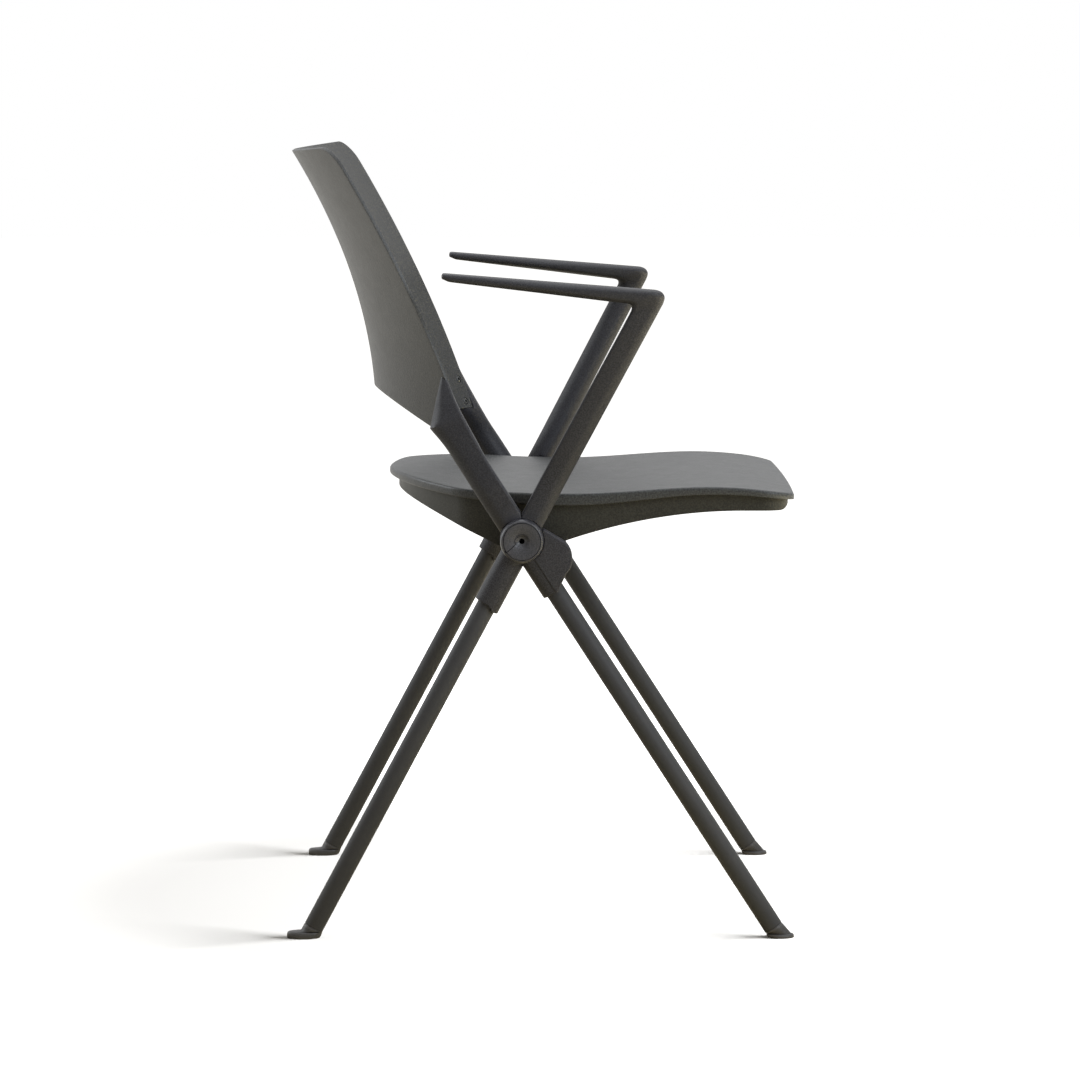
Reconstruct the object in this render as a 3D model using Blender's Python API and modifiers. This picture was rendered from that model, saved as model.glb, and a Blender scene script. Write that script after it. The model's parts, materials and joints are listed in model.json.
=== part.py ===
"""Free-standing armchair: crossed side frames that meet at a hub on each side, and a tip-up seat.

Metres, +Z up, front toward -Y, origin on the floor under the middle of the chair.
Pieces are modelled about the hub axis: y runs rearward from it and z upward.
"""
import math

import bmesh
import bpy
from mathutils import Matrix, Vector

# Clearances, and how far a cutter reaches past what it cuts
FIT = 0.0003
HUB_RUN = 0.0008
OVERSHOOT = 0.050

# Hub and side frame
HUB_HEIGHT = 0.418
FRAME_GAP = 0.025
REAR_LEG_LEAN = math.radians(28.15)
FRONT_LEG_LEAN = math.radians(32.8)
UPRIGHT_LEAN = math.radians(27.9)
BARREL_RADIUS = 0.0226
BARREL_OUTER = 0.012
BARREL_INNER = 0.018
WEB_OUTER = 0.0035
WEB_INNER = 0.002
CAP_FACE_RADIUS = 0.0197
CAP_SHOULDER = 0.0065
CAP_HEIGHT = 0.0122
CAP_WALL = 0.009
CAP_RECESS_RADIUS = 0.0070
CAP_RECESS_DEPTH = 0.0020
CAP_HOLE_RADIUS = 0.0025
CAP_SKIRT_RADIUS = 0.0162
CAP_SKIRT_WALL = 0.0027
CAP_SKIRT_DEPTH = 0.0055

# Legs and sockets
TUBE_RADIUS = 0.01025
TUBE_WALL = 0.0015
SOCKET_RADIUS = 0.0140
SOCKET_FLOOR = 0.0245
REAR_SOCKET_LENGTH = 0.076
FRONT_SOCKET_LENGTH = 0.064
LEG_SCREW_ALONG = 0.050

# Glides
GLIDE_HEIGHT = 0.013
GLIDE_SOLE = 0.0042
GLIDE_HALF_WIDTH = 0.0112
GLIDE_HEEL = 0.0125
REAR_GLIDE_TOE = 0.0220
FRONT_GLIDE_TOE = 0.0150
GLIDE_PLUG_LENGTH = 0.026
GLIDE_EDGE = 0.0008
GLIDE_SHOULDER = 0.0016

# Seat
SEAT_WIDTH = 0.450
SEAT_FRONT = 0.293
SEAT_REAR = 0.143
SEAT_REAR_RADIUS = 0.340
SEAT_FRONT_RADIUS = 1.600
SEAT_REAR_CORNER = 0.055
SEAT_FRONT_CORNER = 0.045
SEAT_LOW_RISE = 0.0445
SEAT_LOW_REACH = 0.010
SEAT_CREST_RISE = 0.0520
SEAT_CREST_REACH = 0.195
SEAT_REAR_RISE = 0.0565
SEAT_FRONT_RISE = 0.0425
SEAT_SKIN = 0.004
SEAT_RIM_DEPTH = 0.010
SEAT_RIM_RADIUS = 0.005
SEAT_RING_SHARES = (0.78, 0.50, 0.22)

# Seat pan
PAN_INSET = 0.010
PAN_WALL = 0.003
PAN_FLOOR_WALL = 0.0034
PAN_KEEL = 0.0225
PAN_REAR_SLOPE = 0.541
PAN_REAR_BOW = 0.0158
PAN_FLAT_REACH = 0.230
PAN_FLAT_RISE = 0.0262
PAN_SEAT_GAP = 0.0007
SEAT_BOSS_RADIUS = 0.006
SEAT_BOSS_LENGTH = 0.009
PAN_BOSS_WALL = 0.0032
PAN_BOSS_WEB = 0.003
FRONT_SCREW_REACH = 0.190
FRONT_SCREW_INSET = 0.075
REAR_SCREW_REACH = 0.075
REAR_SCREW_INSET = 0.105

# Pivot
CROSSBAR_RADIUS = 0.011
CROSSBAR_WALL = 0.002
PLUG_LENGTH = 0.025
PLUG_FLOOR = 0.004
BUSH_WALL = 0.0032
BUSH_COLLAR = 0.0035
BUSH_DEPTH = 0.0155
PIVOT_BOSS_WALL = 0.0047

# Seat stops
STOP_REACH = 0.040
STOP_WIDTH = 0.014
BUFFER_LENGTH = 0.012
BUFFER_HEIGHT = 0.005
LEDGE_LENGTH = 0.014
LEDGE_HEIGHT = 0.006
BRACKET_OUTER = 0.0155
BRACKET_INNER = 0.006
NOSE_ALONG = 0.0315
NOSE_SIDE = 0.0145
NOSE_RADIUS = 0.0229
NOSE_START = math.radians(107)
NOSE_END = math.radians(13)
BRACKET_TOP_ALONG = 0.0020
BRACKET_TOP_SIDE = 0.0250
LUG_THICKNESS = 0.006
LUG_ALONG = 0.019
LUG_SIDE = 0.0215
LUG_WIDTH = 0.014

# Back shell
BACK_WIDTH = 0.448
BACK_SKIN = 0.0035
BACK_RISE = 0.142
BACK_HEIGHT = 0.2555
BACK_REACH = 0.158
BACK_WRAP = 0.0815
BACK_WRAP_WIDTH = 0.440
CENTRE_TILT = 0.0775
CENTRE_BOW = 0.0683
RIM_TILT = 0.3287
RIM_BOW = 0.0346
LOWER_EDGE_DROOP = 0.0495
UPPER_EDGE_RISE = 0.005
BACK_CORNER = 0.022
EAR_WIDTH = 0.024
EAR_RUN = 0.010
EAR_DROP = 0.046

# Back posts
POST_WIDTH = 0.0294
POST_DEPTH = 0.026
POST_STRAIGHT = 0.090
POST_TOP_OFFSET = 0.0055
POST_ROUND = 0.0095
# Tops of the posts: heights above the back's lower edge and offsets from its rim line
POST_BEND_FRONT_HEIGHT = -0.037
POST_BEND_FRONT_OFFSET = -0.0165
POST_BEND_REAR_HEIGHT = -0.047
POST_BEND_REAR_OFFSET = 0.0160
POST_HEEL_FRONT_HEIGHT = -0.012
POST_HEEL_FRONT_OFFSET = -0.0116
POST_HEEL_REAR_HEIGHT = -0.0255
POST_HEEL_REAR_OFFSET = 0.0266
POST_NECK_FRONT_HEIGHT = 0.006
POST_NECK_FRONT_OFFSET = -0.0085
POST_NECK_REAR_HEIGHT = 0.001
POST_NECK_REAR_OFFSET = 0.0122
POST_NECK_DEPTH = 0.020
POST_TIP_FRONT_HEIGHT = 0.028
POST_TIP_FRONT_OFFSET = -0.0076
POST_TIP_REAR_HEIGHT = 0.026
POST_TIP_REAR_OFFSET = -0.0024
POST_TIP_DEPTH = 0.010
TENON_WIDTH = 0.012
TENON_START = 0.012
TENON_END = 0.060
TENON_SCREW_ALONG = 0.048
LAP_DEPTH = 0.045
BACK_SCREW_INSET = 0.0065
UPPER_SCREW_HEIGHT = -0.008
LOWER_SCREW_HEIGHT = -0.033
CHANNEL_WIDTH = 0.014
CHANNEL_DEPTH = 0.004

# Arms
UPRIGHT_WIDTH = 0.0255
UPRIGHT_DEPTH = 0.026
ARM_SPREAD = 0.0313
ARM_RISE = 0.2584
ARM_SLOPE = 0.078
ARM_UNDER_SLOPE = 0.123
ARM_CORNER_RADIUS = 0.011
ARM_INNER_RADIUS = 0.005
ARM_TIP_REACH = 0.082
ARM_TIP_HEIGHT = 0.0085
ARM_TIP_SETBACK = 0.010
ARM_TIP_DROP = 0.0025
ARM_TIP_EDGE = 0.0021
ARMREST_WIDTH = 0.046
ARMREST_TIP_WIDTH = 0.036
ARM_TIP_END_WIDTH = 0.029
ARM_CORNER_WIDTH = 0.038
ARMREST_STATIONS = (0.25, 0.50, 0.75, 0.95)
ARM_ROUND = 0.0095
ARMREST_ROUND = 0.0055
ARM_STRAIGHT = 0.065

# Screws
HEAD_RADIUS = 0.0038
HEAD_HEIGHT = 0.0028
SHANK_RADIUS = 0.0020
DRIVE_RADIUS = 0.0015
DRIVE_DEPTH = 0.0016
SCREW_REACH = 0.010
HUB_SCREW_RADIUS = 0.004
HUB_HEAD_RADIUS = 0.0065
HUB_HEAD_HEIGHT = 0.0065
HUB_DRIVE_RADIUS = 0.003
HUB_DRIVE_DEPTH = 0.004
HUB_SCREW_SPARE = 0.0035

# Facets and shading
ROUND_SIDES = 24
SMALL_SIDES = 12
GLIDE_SIDES = 20
ROUND_LIMIT = 0.96
SHARP_ANGLE = math.radians(40)

# Values that follow from the driving dimensions
HUB_X = SEAT_WIDTH / 2 + FRAME_GAP
REAR_LEG = Vector((0, math.sin(REAR_LEG_LEAN), -math.cos(REAR_LEG_LEAN)))
FRONT_LEG = Vector((0, -math.sin(FRONT_LEG_LEAN), -math.cos(FRONT_LEG_LEAN)))
POST = -FRONT_LEG
UPRIGHT = Vector((0, -math.sin(UPRIGHT_LEAN), math.cos(UPRIGHT_LEAN)))
BARREL_CUT = BARREL_RADIUS + HUB_RUN
SHANK_HOLE = SHANK_RADIUS + FIT
HEAD_HOLE = HEAD_RADIUS + FIT
PAN_TOP_DROP = SEAT_SKIN + PAN_SEAT_GAP
BACK_TOP_REACH = BACK_REACH + CENTRE_TILT * BACK_HEIGHT + CENTRE_BOW
HUB_Y = (SEAT_FRONT - BACK_TOP_REACH) / 2
SIDES = {"right": -1, "left": 1}
SIDE_PLANE = Matrix(((0, 0, 1, 0), (1, 0, 0, 0), (0, 1, 0, 0), (0, 0, 0, 1)))

for old in list(bpy.data.objects):
    bpy.data.objects.remove(old, do_unlink=True)


def new_collection(name):
    collection = bpy.data.collections.new(name)
    bpy.context.scene.collection.children.link(collection)
    return collection


PARTS = new_collection("tip_up_armchair")
CUTTERS = new_collection("cutters")


def plain_material(name, colour, roughness, metallic=0.0):
    material = bpy.data.materials.new(name)
    material.use_nodes = True
    shader = material.node_tree.nodes["Principled BSDF"]
    shader.inputs["Base Color"].default_value = (*colour, 1.0)
    shader.inputs["Roughness"].default_value = roughness
    shader.inputs["Metallic"].default_value = metallic
    return material


SEAT_PLASTIC = plain_material("seat_plastic", (0.030, 0.032, 0.033), 0.62)
BACK_PLASTIC = plain_material("back_plastic", (0.028, 0.028, 0.026), 0.62)
FRAME_PLASTIC = plain_material("frame_plastic", (0.016, 0.016, 0.018), 0.55)
POWDER_COAT = plain_material("powder_coated_tube", (0.015, 0.015, 0.016), 0.50)
BUSH_PLASTIC = plain_material("bush_plastic", (0.030, 0.030, 0.030), 0.45)
BUFFER_RUBBER = plain_material("buffer_rubber", (0.010, 0.010, 0.010), 0.80)
ZINC_STEEL = plain_material("zinc_steel", (0.52, 0.52, 0.53), 0.35, 1.0)


def pivot_empty(name):
    empty = bpy.data.objects.new(name, None)
    empty.location = (0, HUB_Y, HUB_HEIGHT)
    PARTS.objects.link(empty)
    return empty


FRAME_ROOT = pivot_empty("frame_root")
SEAT_PIVOT = pivot_empty("seat_pivot")


def place(obj, material=None, parent=FRAME_ROOT):
    """Puts a finished piece among the parts, or a shape without a material among the cutters."""
    obj.parent = parent
    if material is None:
        CUTTERS.objects.link(obj)
        obj.hide_render = True
        obj.display_type = "WIRE"
        return obj
    PARTS.objects.link(obj)
    obj.data.materials.append(material)
    obj.data.shade_smooth()
    obj.data.set_sharp_from_angle(angle=SHARP_ANGLE)
    return obj


def from_bmesh(name, bm):
    mesh = bpy.data.meshes.new(name)
    bm.to_mesh(mesh)
    bm.free()
    return bpy.data.objects.new(name, mesh)


def boolean(obj, other, operation="DIFFERENCE"):
    modifier = obj.modifiers.new(operation.lower(), "BOOLEAN")
    modifier.operation = operation
    modifier.solver = "EXACT"
    modifier.object = other


def frame_matrix(start, along):
    """Turns local Z to the given direction and moves the origin to the start."""
    return Matrix.Translation(start) @ Vector(along).to_track_quat("Z", "X").to_matrix().to_4x4()


def cylinder(name, radius, start, end, sides=ROUND_SIDES):
    start, end = Vector(start), Vector(end)
    length = (end - start).length
    bm = bmesh.new()
    bmesh.ops.create_cone(bm, cap_ends=True, segments=sides, radius1=radius, radius2=radius,
                          depth=length, matrix=Matrix.Translation((0, 0, length / 2)))
    obj = from_bmesh(name, bm)
    obj.matrix_local = frame_matrix(start, end - start)
    return obj


def block(name, size, matrix):
    bm = bmesh.new()
    bmesh.ops.create_cube(bm, size=1, matrix=Matrix.Diagonal((*size, 1)))
    obj = from_bmesh(name, bm)
    obj.matrix_local = matrix
    return obj


def turned(name, profile, closed=False, sides=ROUND_SIDES):
    """Turns a profile of (radius, height) points about local Z."""
    mesh = bpy.data.meshes.new(name)
    edges = [(i, i + 1) for i in range(len(profile) - 1)]
    if closed:
        edges.append((len(profile) - 1, 0))
    mesh.from_pydata([(r, 0, h) for r, h in profile], edges, [])
    obj = bpy.data.objects.new(name, mesh)
    screw = obj.modifiers.new("turn", "SCREW")
    screw.axis = "Z"
    screw.steps = sides
    screw.render_steps = sides
    screw.use_merge_vertices = True
    screw.merge_threshold = 0.00001
    return obj


def extruded(name, points, thickness, matrix):
    """A flat outline with a thickness, as a mesh, laid in the plane that the matrix gives."""
    curve = bpy.data.curves.new(name, "CURVE")
    curve.dimensions = "2D"
    curve.fill_mode = "BOTH"
    curve.extrude = thickness / 2
    spline = curve.splines.new("POLY")
    spline.points.add(len(points) - 1)
    for point, (u, v) in zip(spline.points, points):
        point.co = (u, v, 0, 1)
    spline.use_cyclic_u = True
    guide = bpy.data.objects.new(name, curve)
    bpy.context.scene.collection.objects.link(guide)
    graph = bpy.context.evaluated_depsgraph_get()
    mesh = bpy.data.meshes.new_from_object(guide.evaluated_get(graph))
    bpy.data.objects.remove(guide, do_unlink=True)
    bpy.data.curves.remove(curve)
    bm = bmesh.new()
    bm.from_mesh(mesh)
    bpy.data.meshes.remove(mesh)
    bmesh.ops.remove_doubles(bm, verts=bm.verts, dist=0.000001)
    bmesh.ops.recalc_face_normals(bm, faces=bm.faces)
    bmesh.ops.transform(bm, matrix=matrix, verts=bm.verts)
    return from_bmesh(name, bm)


def loft(name, rings):
    """Joins closed rings of equally many points into one solid with flat ends."""
    bm = bmesh.new()
    rows = [[bm.verts.new(point) for point in ring] for ring in rings]
    count = len(rows[0])
    for lower, upper in zip(rows, rows[1:]):
        for i in range(count):
            j = (i + 1) % count
            bm.faces.new((lower[i], lower[j], upper[j], upper[i]))
    bm.faces.new(rows[0])
    bm.faces.new(rows[-1])
    bmesh.ops.recalc_face_normals(bm, faces=bm.faces)
    return from_bmesh(name, bm)


def bar_section(edge, other, x, depth, rounding):
    """A rounded section of a bar, from one edge of its side view to the other."""
    edge, other = Vector((x, *edge)), Vector((x, *other))
    across = (edge - other).normalized()
    half, side = (edge - other).length / 2, depth / 2
    radius = min(rounding, ROUND_LIMIT * half, ROUND_LIMIT * side)
    points = []
    for quarter in range(4):
        sign_u = 1 if quarter in (0, 3) else -1
        sign_v = 1 if quarter in (0, 1) else -1
        for step in range(4):
            angle = math.radians(90 * quarter + 30 * step)
            u = sign_u * (half - radius) + radius * math.cos(angle)
            v = sign_v * (side - radius) + radius * math.sin(angle)
            points.append((edge + other) / 2 + across * u + Vector((v, 0, 0)))
    return points


def side_point(direction, along, side, x=0.0):
    """A point of the side view, along a member from the hub and to the front or rear side of it."""
    ahead = Vector((0, direction.z, -direction.y))
    return direction * along + ahead * side + Vector((x, 0, 0))


def side_matrix(direction, along, side, x):
    """A frame with Z along a member, Y to its front or rear side and X across the chair."""
    ahead = Vector((0, direction.z, -direction.y))
    matrix = Matrix((Vector((1, 0, 0)), ahead, direction)).transposed().to_4x4()
    return Matrix.Translation(side_point(direction, along, side, x)) @ matrix


def arc(centre, radius, start, end, steps):
    angles = [start + (end - start) * i / steps for i in range(steps + 1)]
    return [(centre[0] + radius * math.cos(a), centre[1] + radius * math.sin(a)) for a in angles]


def screw(name, seat, direction, length, parent=FRAME_ROOT):
    """A socket screw whose head sits on the given point and whose shank runs in the given direction."""
    profile = [(0, HEAD_HEIGHT - DRIVE_DEPTH), (DRIVE_RADIUS, HEAD_HEIGHT - DRIVE_DEPTH),
               (DRIVE_RADIUS, HEAD_HEIGHT), (HEAD_RADIUS, HEAD_HEIGHT), (HEAD_RADIUS, 0),
               (SHANK_RADIUS, 0), (SHANK_RADIUS, -length), (0, -length)]
    obj = turned(name, profile, sides=SMALL_SIDES)
    obj.matrix_local = frame_matrix(seat, -Vector(direction))
    return place(obj, ZINC_STEEL, parent)


def drill(obj, radius, start, end, parent=FRAME_ROOT):
    hole = cylinder(obj.name + "_hole", radius, start, end, SMALL_SIDES)
    boolean(obj, place(hole, parent=parent))


# Seat outline and heights
def seat_outline(inset):
    """Half-round rear, straight sides and bowed front, set in from the seat's edge; runs right round."""
    half = SEAT_WIDTH / 2 - inset
    rear, front = SEAT_REAR_RADIUS - inset, SEAT_FRONT_RADIUS - inset
    rear_corner, front_corner = SEAT_REAR_CORNER - inset, SEAT_FRONT_CORNER - inset
    rear_y, front_y = SEAT_REAR - SEAT_REAR_RADIUS, SEAT_FRONT_RADIUS - SEAT_FRONT
    rear_side, front_side = half - rear_corner, half - front_corner
    rear_centre = rear_y + math.sqrt((rear - rear_corner) ** 2 - rear_side ** 2)
    front_centre = front_y - math.sqrt((front - front_corner) ** 2 - front_side ** 2)
    rear_turn = math.atan2(rear_centre - rear_y, rear_side)
    front_turn = math.atan2(front_centre - front_y, front_side)
    run = arc((0, rear_y), rear, math.pi / 2, rear_turn, 5)
    run += arc((rear_side, rear_centre), rear_corner, rear_turn, 0, 4)[1:]
    steps = 8
    run += [(half, rear_centre + (front_centre - rear_centre) * i / steps) for i in range(1, steps)]
    run += arc((front_side, front_centre), front_corner, 0, front_turn, 4)
    run += arc((0, front_y), front, front_turn, -math.pi / 2, 3)[1:]
    return run + [(-x, y) for x, y in run[-2:0:-1]]


def seat_top(y):
    """Height of the seat's top along the middle: low over the hubs, a crest, a falling front edge."""
    if y > -SEAT_LOW_REACH:
        share = (y + SEAT_LOW_REACH) / (SEAT_REAR + SEAT_LOW_REACH)
        return SEAT_LOW_RISE + (SEAT_REAR_RISE - SEAT_LOW_RISE) * share ** 2
    if y > -SEAT_CREST_REACH:
        share = (y + SEAT_LOW_REACH) / (SEAT_LOW_REACH - SEAT_CREST_REACH)
        return SEAT_LOW_RISE + (SEAT_CREST_RISE - SEAT_LOW_RISE) * share ** 2 * (3 - 2 * share)
    share = (y + SEAT_CREST_REACH) / (SEAT_CREST_REACH - SEAT_FRONT)
    return SEAT_CREST_RISE + (SEAT_FRONT_RISE - SEAT_CREST_RISE) * share ** 2


def pan_floor(y):
    """Height of the pan's underside: a keel under the hub axis, rising to the rear and to a flat front."""
    if y > 0:
        return PAN_REAR_SLOPE * y - PAN_REAR_BOW * (y / SEAT_REAR) ** 2 - PAN_KEEL
    share = max(0, (PAN_FLAT_REACH + y) / PAN_FLAT_REACH)
    return PAN_FLAT_RISE - (PAN_FLAT_RISE + PAN_KEEL) * share ** 2


def seat_screws():
    for end, y, inset in (("front", -FRONT_SCREW_REACH, FRONT_SCREW_INSET),
                          ("rear", REAR_SCREW_REACH, REAR_SCREW_INSET)):
        for side, sign in SIDES.items():
            x = sign * (SEAT_WIDTH / 2 - inset)
            yield end + "_" + side, Vector((x, y, seat_top(y) - SEAT_SKIN - SEAT_BOSS_LENGTH))


def seat_shell():
    rings = [(0, SEAT_RIM_DEPTH), (0, SEAT_RIM_RADIUS)]
    rings += [(SEAT_RIM_RADIUS * (1 - math.cos(a)), SEAT_RIM_RADIUS * (1 - math.sin(a)))
              for a in (math.radians(30), math.radians(60), math.radians(90))]
    middle = (SEAT_REAR - SEAT_FRONT) / 2
    bm = bmesh.new()
    rows = []
    for inset, drop in rings:
        rows.append([(x, y, seat_top(y) - drop) for x, y in seat_outline(inset)])
    edge = seat_outline(SEAT_RIM_RADIUS)
    for share in SEAT_RING_SHARES:
        ring = [(x * share, middle + (y - middle) * share) for x, y in edge]
        rows.append([(x, y, seat_top(y)) for x, y in ring])
    verts = [[bm.verts.new(point) for point in row] for row in rows]
    count = len(verts[0])
    for outer, inner in zip(verts, verts[1:]):
        for i in range(count):
            j = (i + 1) % count
            bm.faces.new((outer[i], inner[i], inner[j], outer[j]))
    centre = bm.verts.new((0, middle, seat_top(middle)))
    for i in range(count):
        bm.faces.new((verts[-1][i], centre, verts[-1][(i + 1) % count]))
    shell = from_bmesh("seat_shell", bm)
    skin = shell.modifiers.new("skin", "SOLIDIFY")
    skin.thickness = SEAT_SKIN
    skin.offset = -1
    skin.use_even_offset = True
    place(shell, SEAT_PLASTIC, SEAT_PIVOT)
    for label, seat in seat_screws():
        root = seat + Vector((0, 0, SEAT_BOSS_LENGTH + SEAT_SKIN / 2))
        boss = cylinder("seat_boss_" + label, SEAT_BOSS_RADIUS, seat, root, SMALL_SIDES)
        boolean(shell, place(boss, parent=SEAT_PIVOT), "UNION")
        tip = seat + Vector((0, 0, SEAT_BOSS_LENGTH))
        drill(shell, SHANK_HOLE, seat - Vector((0, 0, OVERSHOOT)), tip, SEAT_PIVOT)


def pan_solid(name, inset, lift, over):
    """The pan's outer form, or with a lift and an overshoot the hollow inside it."""
    rear, front = SEAT_REAR, -SEAT_FRONT
    steps = 4
    stops = [rear * (1 - i / steps) for i in range(steps)]
    steps = 9
    stops += [-PAN_FLAT_REACH * i / steps for i in range(steps + 1)]
    under = [(y, pan_floor(y) + lift) for y in stops + [front]]
    steps = 16
    stops = [front + (rear - front) * i / steps for i in range(steps + 1)]
    top = [(y, seat_top(y) - PAN_TOP_DROP + over) for y in stops]
    solid = extruded(name, under + top, SEAT_WIDTH, SIDE_PLANE)
    reach = SEAT_CREST_RISE + PAN_KEEL
    plan = extruded(name + "_plan", seat_outline(inset), 4 * reach, Matrix.Identity(4))
    boolean(solid, place(plan, parent=SEAT_PIVOT), "INTERSECT")
    return solid


def seat_pan():
    pan = place(pan_solid("seat_pan", PAN_INSET, 0, 0), SEAT_PLASTIC, SEAT_PIVOT)
    hollow = pan_solid("pan_hollow", PAN_INSET + PAN_WALL, PAN_FLOOR_WALL, SEAT_SKIN)
    place(hollow, parent=SEAT_PIVOT)
    up = Vector((0, 0, 1))
    boss_radius = SEAT_BOSS_RADIUS + FIT + PAN_BOSS_WALL
    for label, seat in seat_screws():
        post = cylinder("pan_boss_" + label, boss_radius, seat - up * OVERSHOOT, seat + up * OVERSHOOT)
        boolean(hollow, place(post, parent=SEAT_PIVOT))
    bush_radius = CROSSBAR_RADIUS + FIT + BUSH_WALL
    wall = SEAT_WIDTH / 2 - PAN_INSET
    for side, sign in SIDES.items():
        boss = cylinder("pivot_boss_" + side, bush_radius + FIT + PIVOT_BOSS_WALL,
                        (sign * (wall - BUSH_DEPTH), 0, 0), (sign * (wall - PAN_WALL / 2), 0, 0))
        boolean(hollow, place(boss, parent=SEAT_PIVOT))
    boolean(pan, hollow)
    for side, sign in SIDES.items():
        bore = cylinder("bush_bore_" + side, bush_radius + FIT, (sign * (wall - 2 * BUSH_DEPTH), 0, 0),
                        (sign * (wall + BUSH_DEPTH), 0, 0))
        boolean(pan, place(bore, parent=SEAT_PIVOT))
    for label, seat in seat_screws():
        web = seat - up * FIT
        socket = cylinder("boss_socket_" + label, SEAT_BOSS_RADIUS + FIT, web, web + up * OVERSHOOT,
                          SMALL_SIDES)
        boolean(pan, place(socket, parent=SEAT_PIVOT))
        drill(pan, SHANK_HOLE, web - up * 2 * PAN_BOSS_WEB, web + up * PAN_BOSS_WEB, SEAT_PIVOT)
        drill(pan, HEAD_HOLE, web - up * OVERSHOOT, web - up * PAN_BOSS_WEB, SEAT_PIVOT)
        head = web - up * (PAN_BOSS_WEB + FIT)
        screw("seat_screw_" + label, head, up, PAN_BOSS_WEB + SEAT_BOSS_LENGTH - 3 * FIT, SEAT_PIVOT)


def pivot_bush(side, sign):
    inner = CROSSBAR_RADIUS + FIT
    outer = inner + BUSH_WALL
    collar = outer + BUSH_COLLAR
    wall = SEAT_WIDTH / 2 - PAN_INSET + FIT
    end = HUB_X - BARREL_INNER - FIT
    start = wall - BUSH_DEPTH
    profile = [(collar, end), (collar, wall), (outer, wall), (outer, start), (inner, start), (inner, end)]
    obj = turned("pivot_bush_" + side, profile, closed=True)
    obj.matrix_local = frame_matrix((0, 0, 0), (sign, 0, 0))
    place(obj, BUSH_PLASTIC, SEAT_PIVOT)


def crossbar():
    end = HUB_X - WEB_INNER - FIT
    inner = CROSSBAR_RADIUS - CROSSBAR_WALL
    profile = [(CROSSBAR_RADIUS, end), (CROSSBAR_RADIUS, -end), (inner, -end), (inner, end)]
    tube = turned("crossbar", profile, closed=True)
    tube.matrix_local = frame_matrix((0, 0, 0), (1, 0, 0))
    place(tube, POWDER_COAT)
    for side, sign in SIDES.items():
        outer, bore = inner - FIT, HUB_SCREW_RADIUS + FIT
        floor = end - PLUG_LENGTH
        profile = [(0, floor + PLUG_FLOOR), (bore, floor + PLUG_FLOOR), (bore, end), (outer, end),
                   (outer, floor), (0, floor)]
        plug = turned("crossbar_plug_" + side, profile, sides=SMALL_SIDES)
        plug.matrix_local = frame_matrix((0, 0, 0), (sign, 0, 0))
        place(plug, ZINC_STEEL)


def hub_screw(side, sign):
    seat = HUB_X + WEB_OUTER + FIT
    tip = HUB_X - WEB_INNER - FIT - PLUG_LENGTH + PLUG_FLOOR + HUB_SCREW_SPARE
    top = seat + HUB_HEAD_HEIGHT
    drive = top - HUB_DRIVE_DEPTH
    profile = [(0, drive), (HUB_DRIVE_RADIUS, drive), (HUB_DRIVE_RADIUS, top), (HUB_HEAD_RADIUS, top),
               (HUB_HEAD_RADIUS, seat), (HUB_SCREW_RADIUS, seat), (HUB_SCREW_RADIUS, tip), (0, tip)]
    obj = turned("hub_screw_" + side, profile, sides=SMALL_SIDES)
    obj.matrix_local = frame_matrix((0, 0, 0), (sign, 0, 0))
    place(obj, ZINC_STEEL)


def hub_cap(side, sign):
    base = BARREL_OUTER + FIT
    face = base + CAP_HEIGHT
    inside = base + CAP_HEIGHT - CAP_WALL
    skirt = base - CAP_SKIRT_DEPTH
    floor = face - CAP_RECESS_DEPTH
    profile = [(CAP_HOLE_RADIUS, floor), (CAP_RECESS_RADIUS, floor), (CAP_RECESS_RADIUS, face)]
    steps = 4
    for step in range(steps + 1):
        angle = math.pi / 2 * (1 - step / steps)
        profile.append((CAP_FACE_RADIUS + (BARREL_RADIUS - CAP_FACE_RADIUS) * math.cos(angle),
                        face - CAP_SHOULDER * (1 - math.sin(angle))))
    profile += [(BARREL_RADIUS, base), (CAP_SKIRT_RADIUS, base), (CAP_SKIRT_RADIUS, skirt),
                (CAP_SKIRT_RADIUS - CAP_SKIRT_WALL, skirt), (CAP_SKIRT_RADIUS - CAP_SKIRT_WALL, inside),
                (CAP_HOLE_RADIUS, inside)]
    obj = turned("hub_cap_" + side, profile, closed=True)
    obj.matrix_local = frame_matrix((sign * HUB_X, 0, 0), (sign, 0, 0))
    place(obj, FRAME_PLASTIC)


def tenon_screw(obj, hub, label, direction, sign, depth):
    """A screw from a member's inner face through its wall into the hub's tenon."""
    inward = Vector((-sign, 0, 0))
    centre = direction * TENON_SCREW_ALONG + Vector((sign * HUB_X, 0, 0))
    face = centre + inward * depth / 2
    seat = face - inward * (HEAD_HEIGHT + FIT)
    drill(obj, HEAD_HOLE, face + inward * OVERSHOOT, seat)
    drill(obj, SHANK_HOLE, face, centre)
    drill(hub, SHANK_HOLE, centre + inward * TENON_WIDTH, centre - inward * (TENON_WIDTH / 4 + FIT))
    length = (seat - centre).length + TENON_WIDTH / 4 - FIT
    screw(label, seat + inward * FIT, -inward, length)


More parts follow.
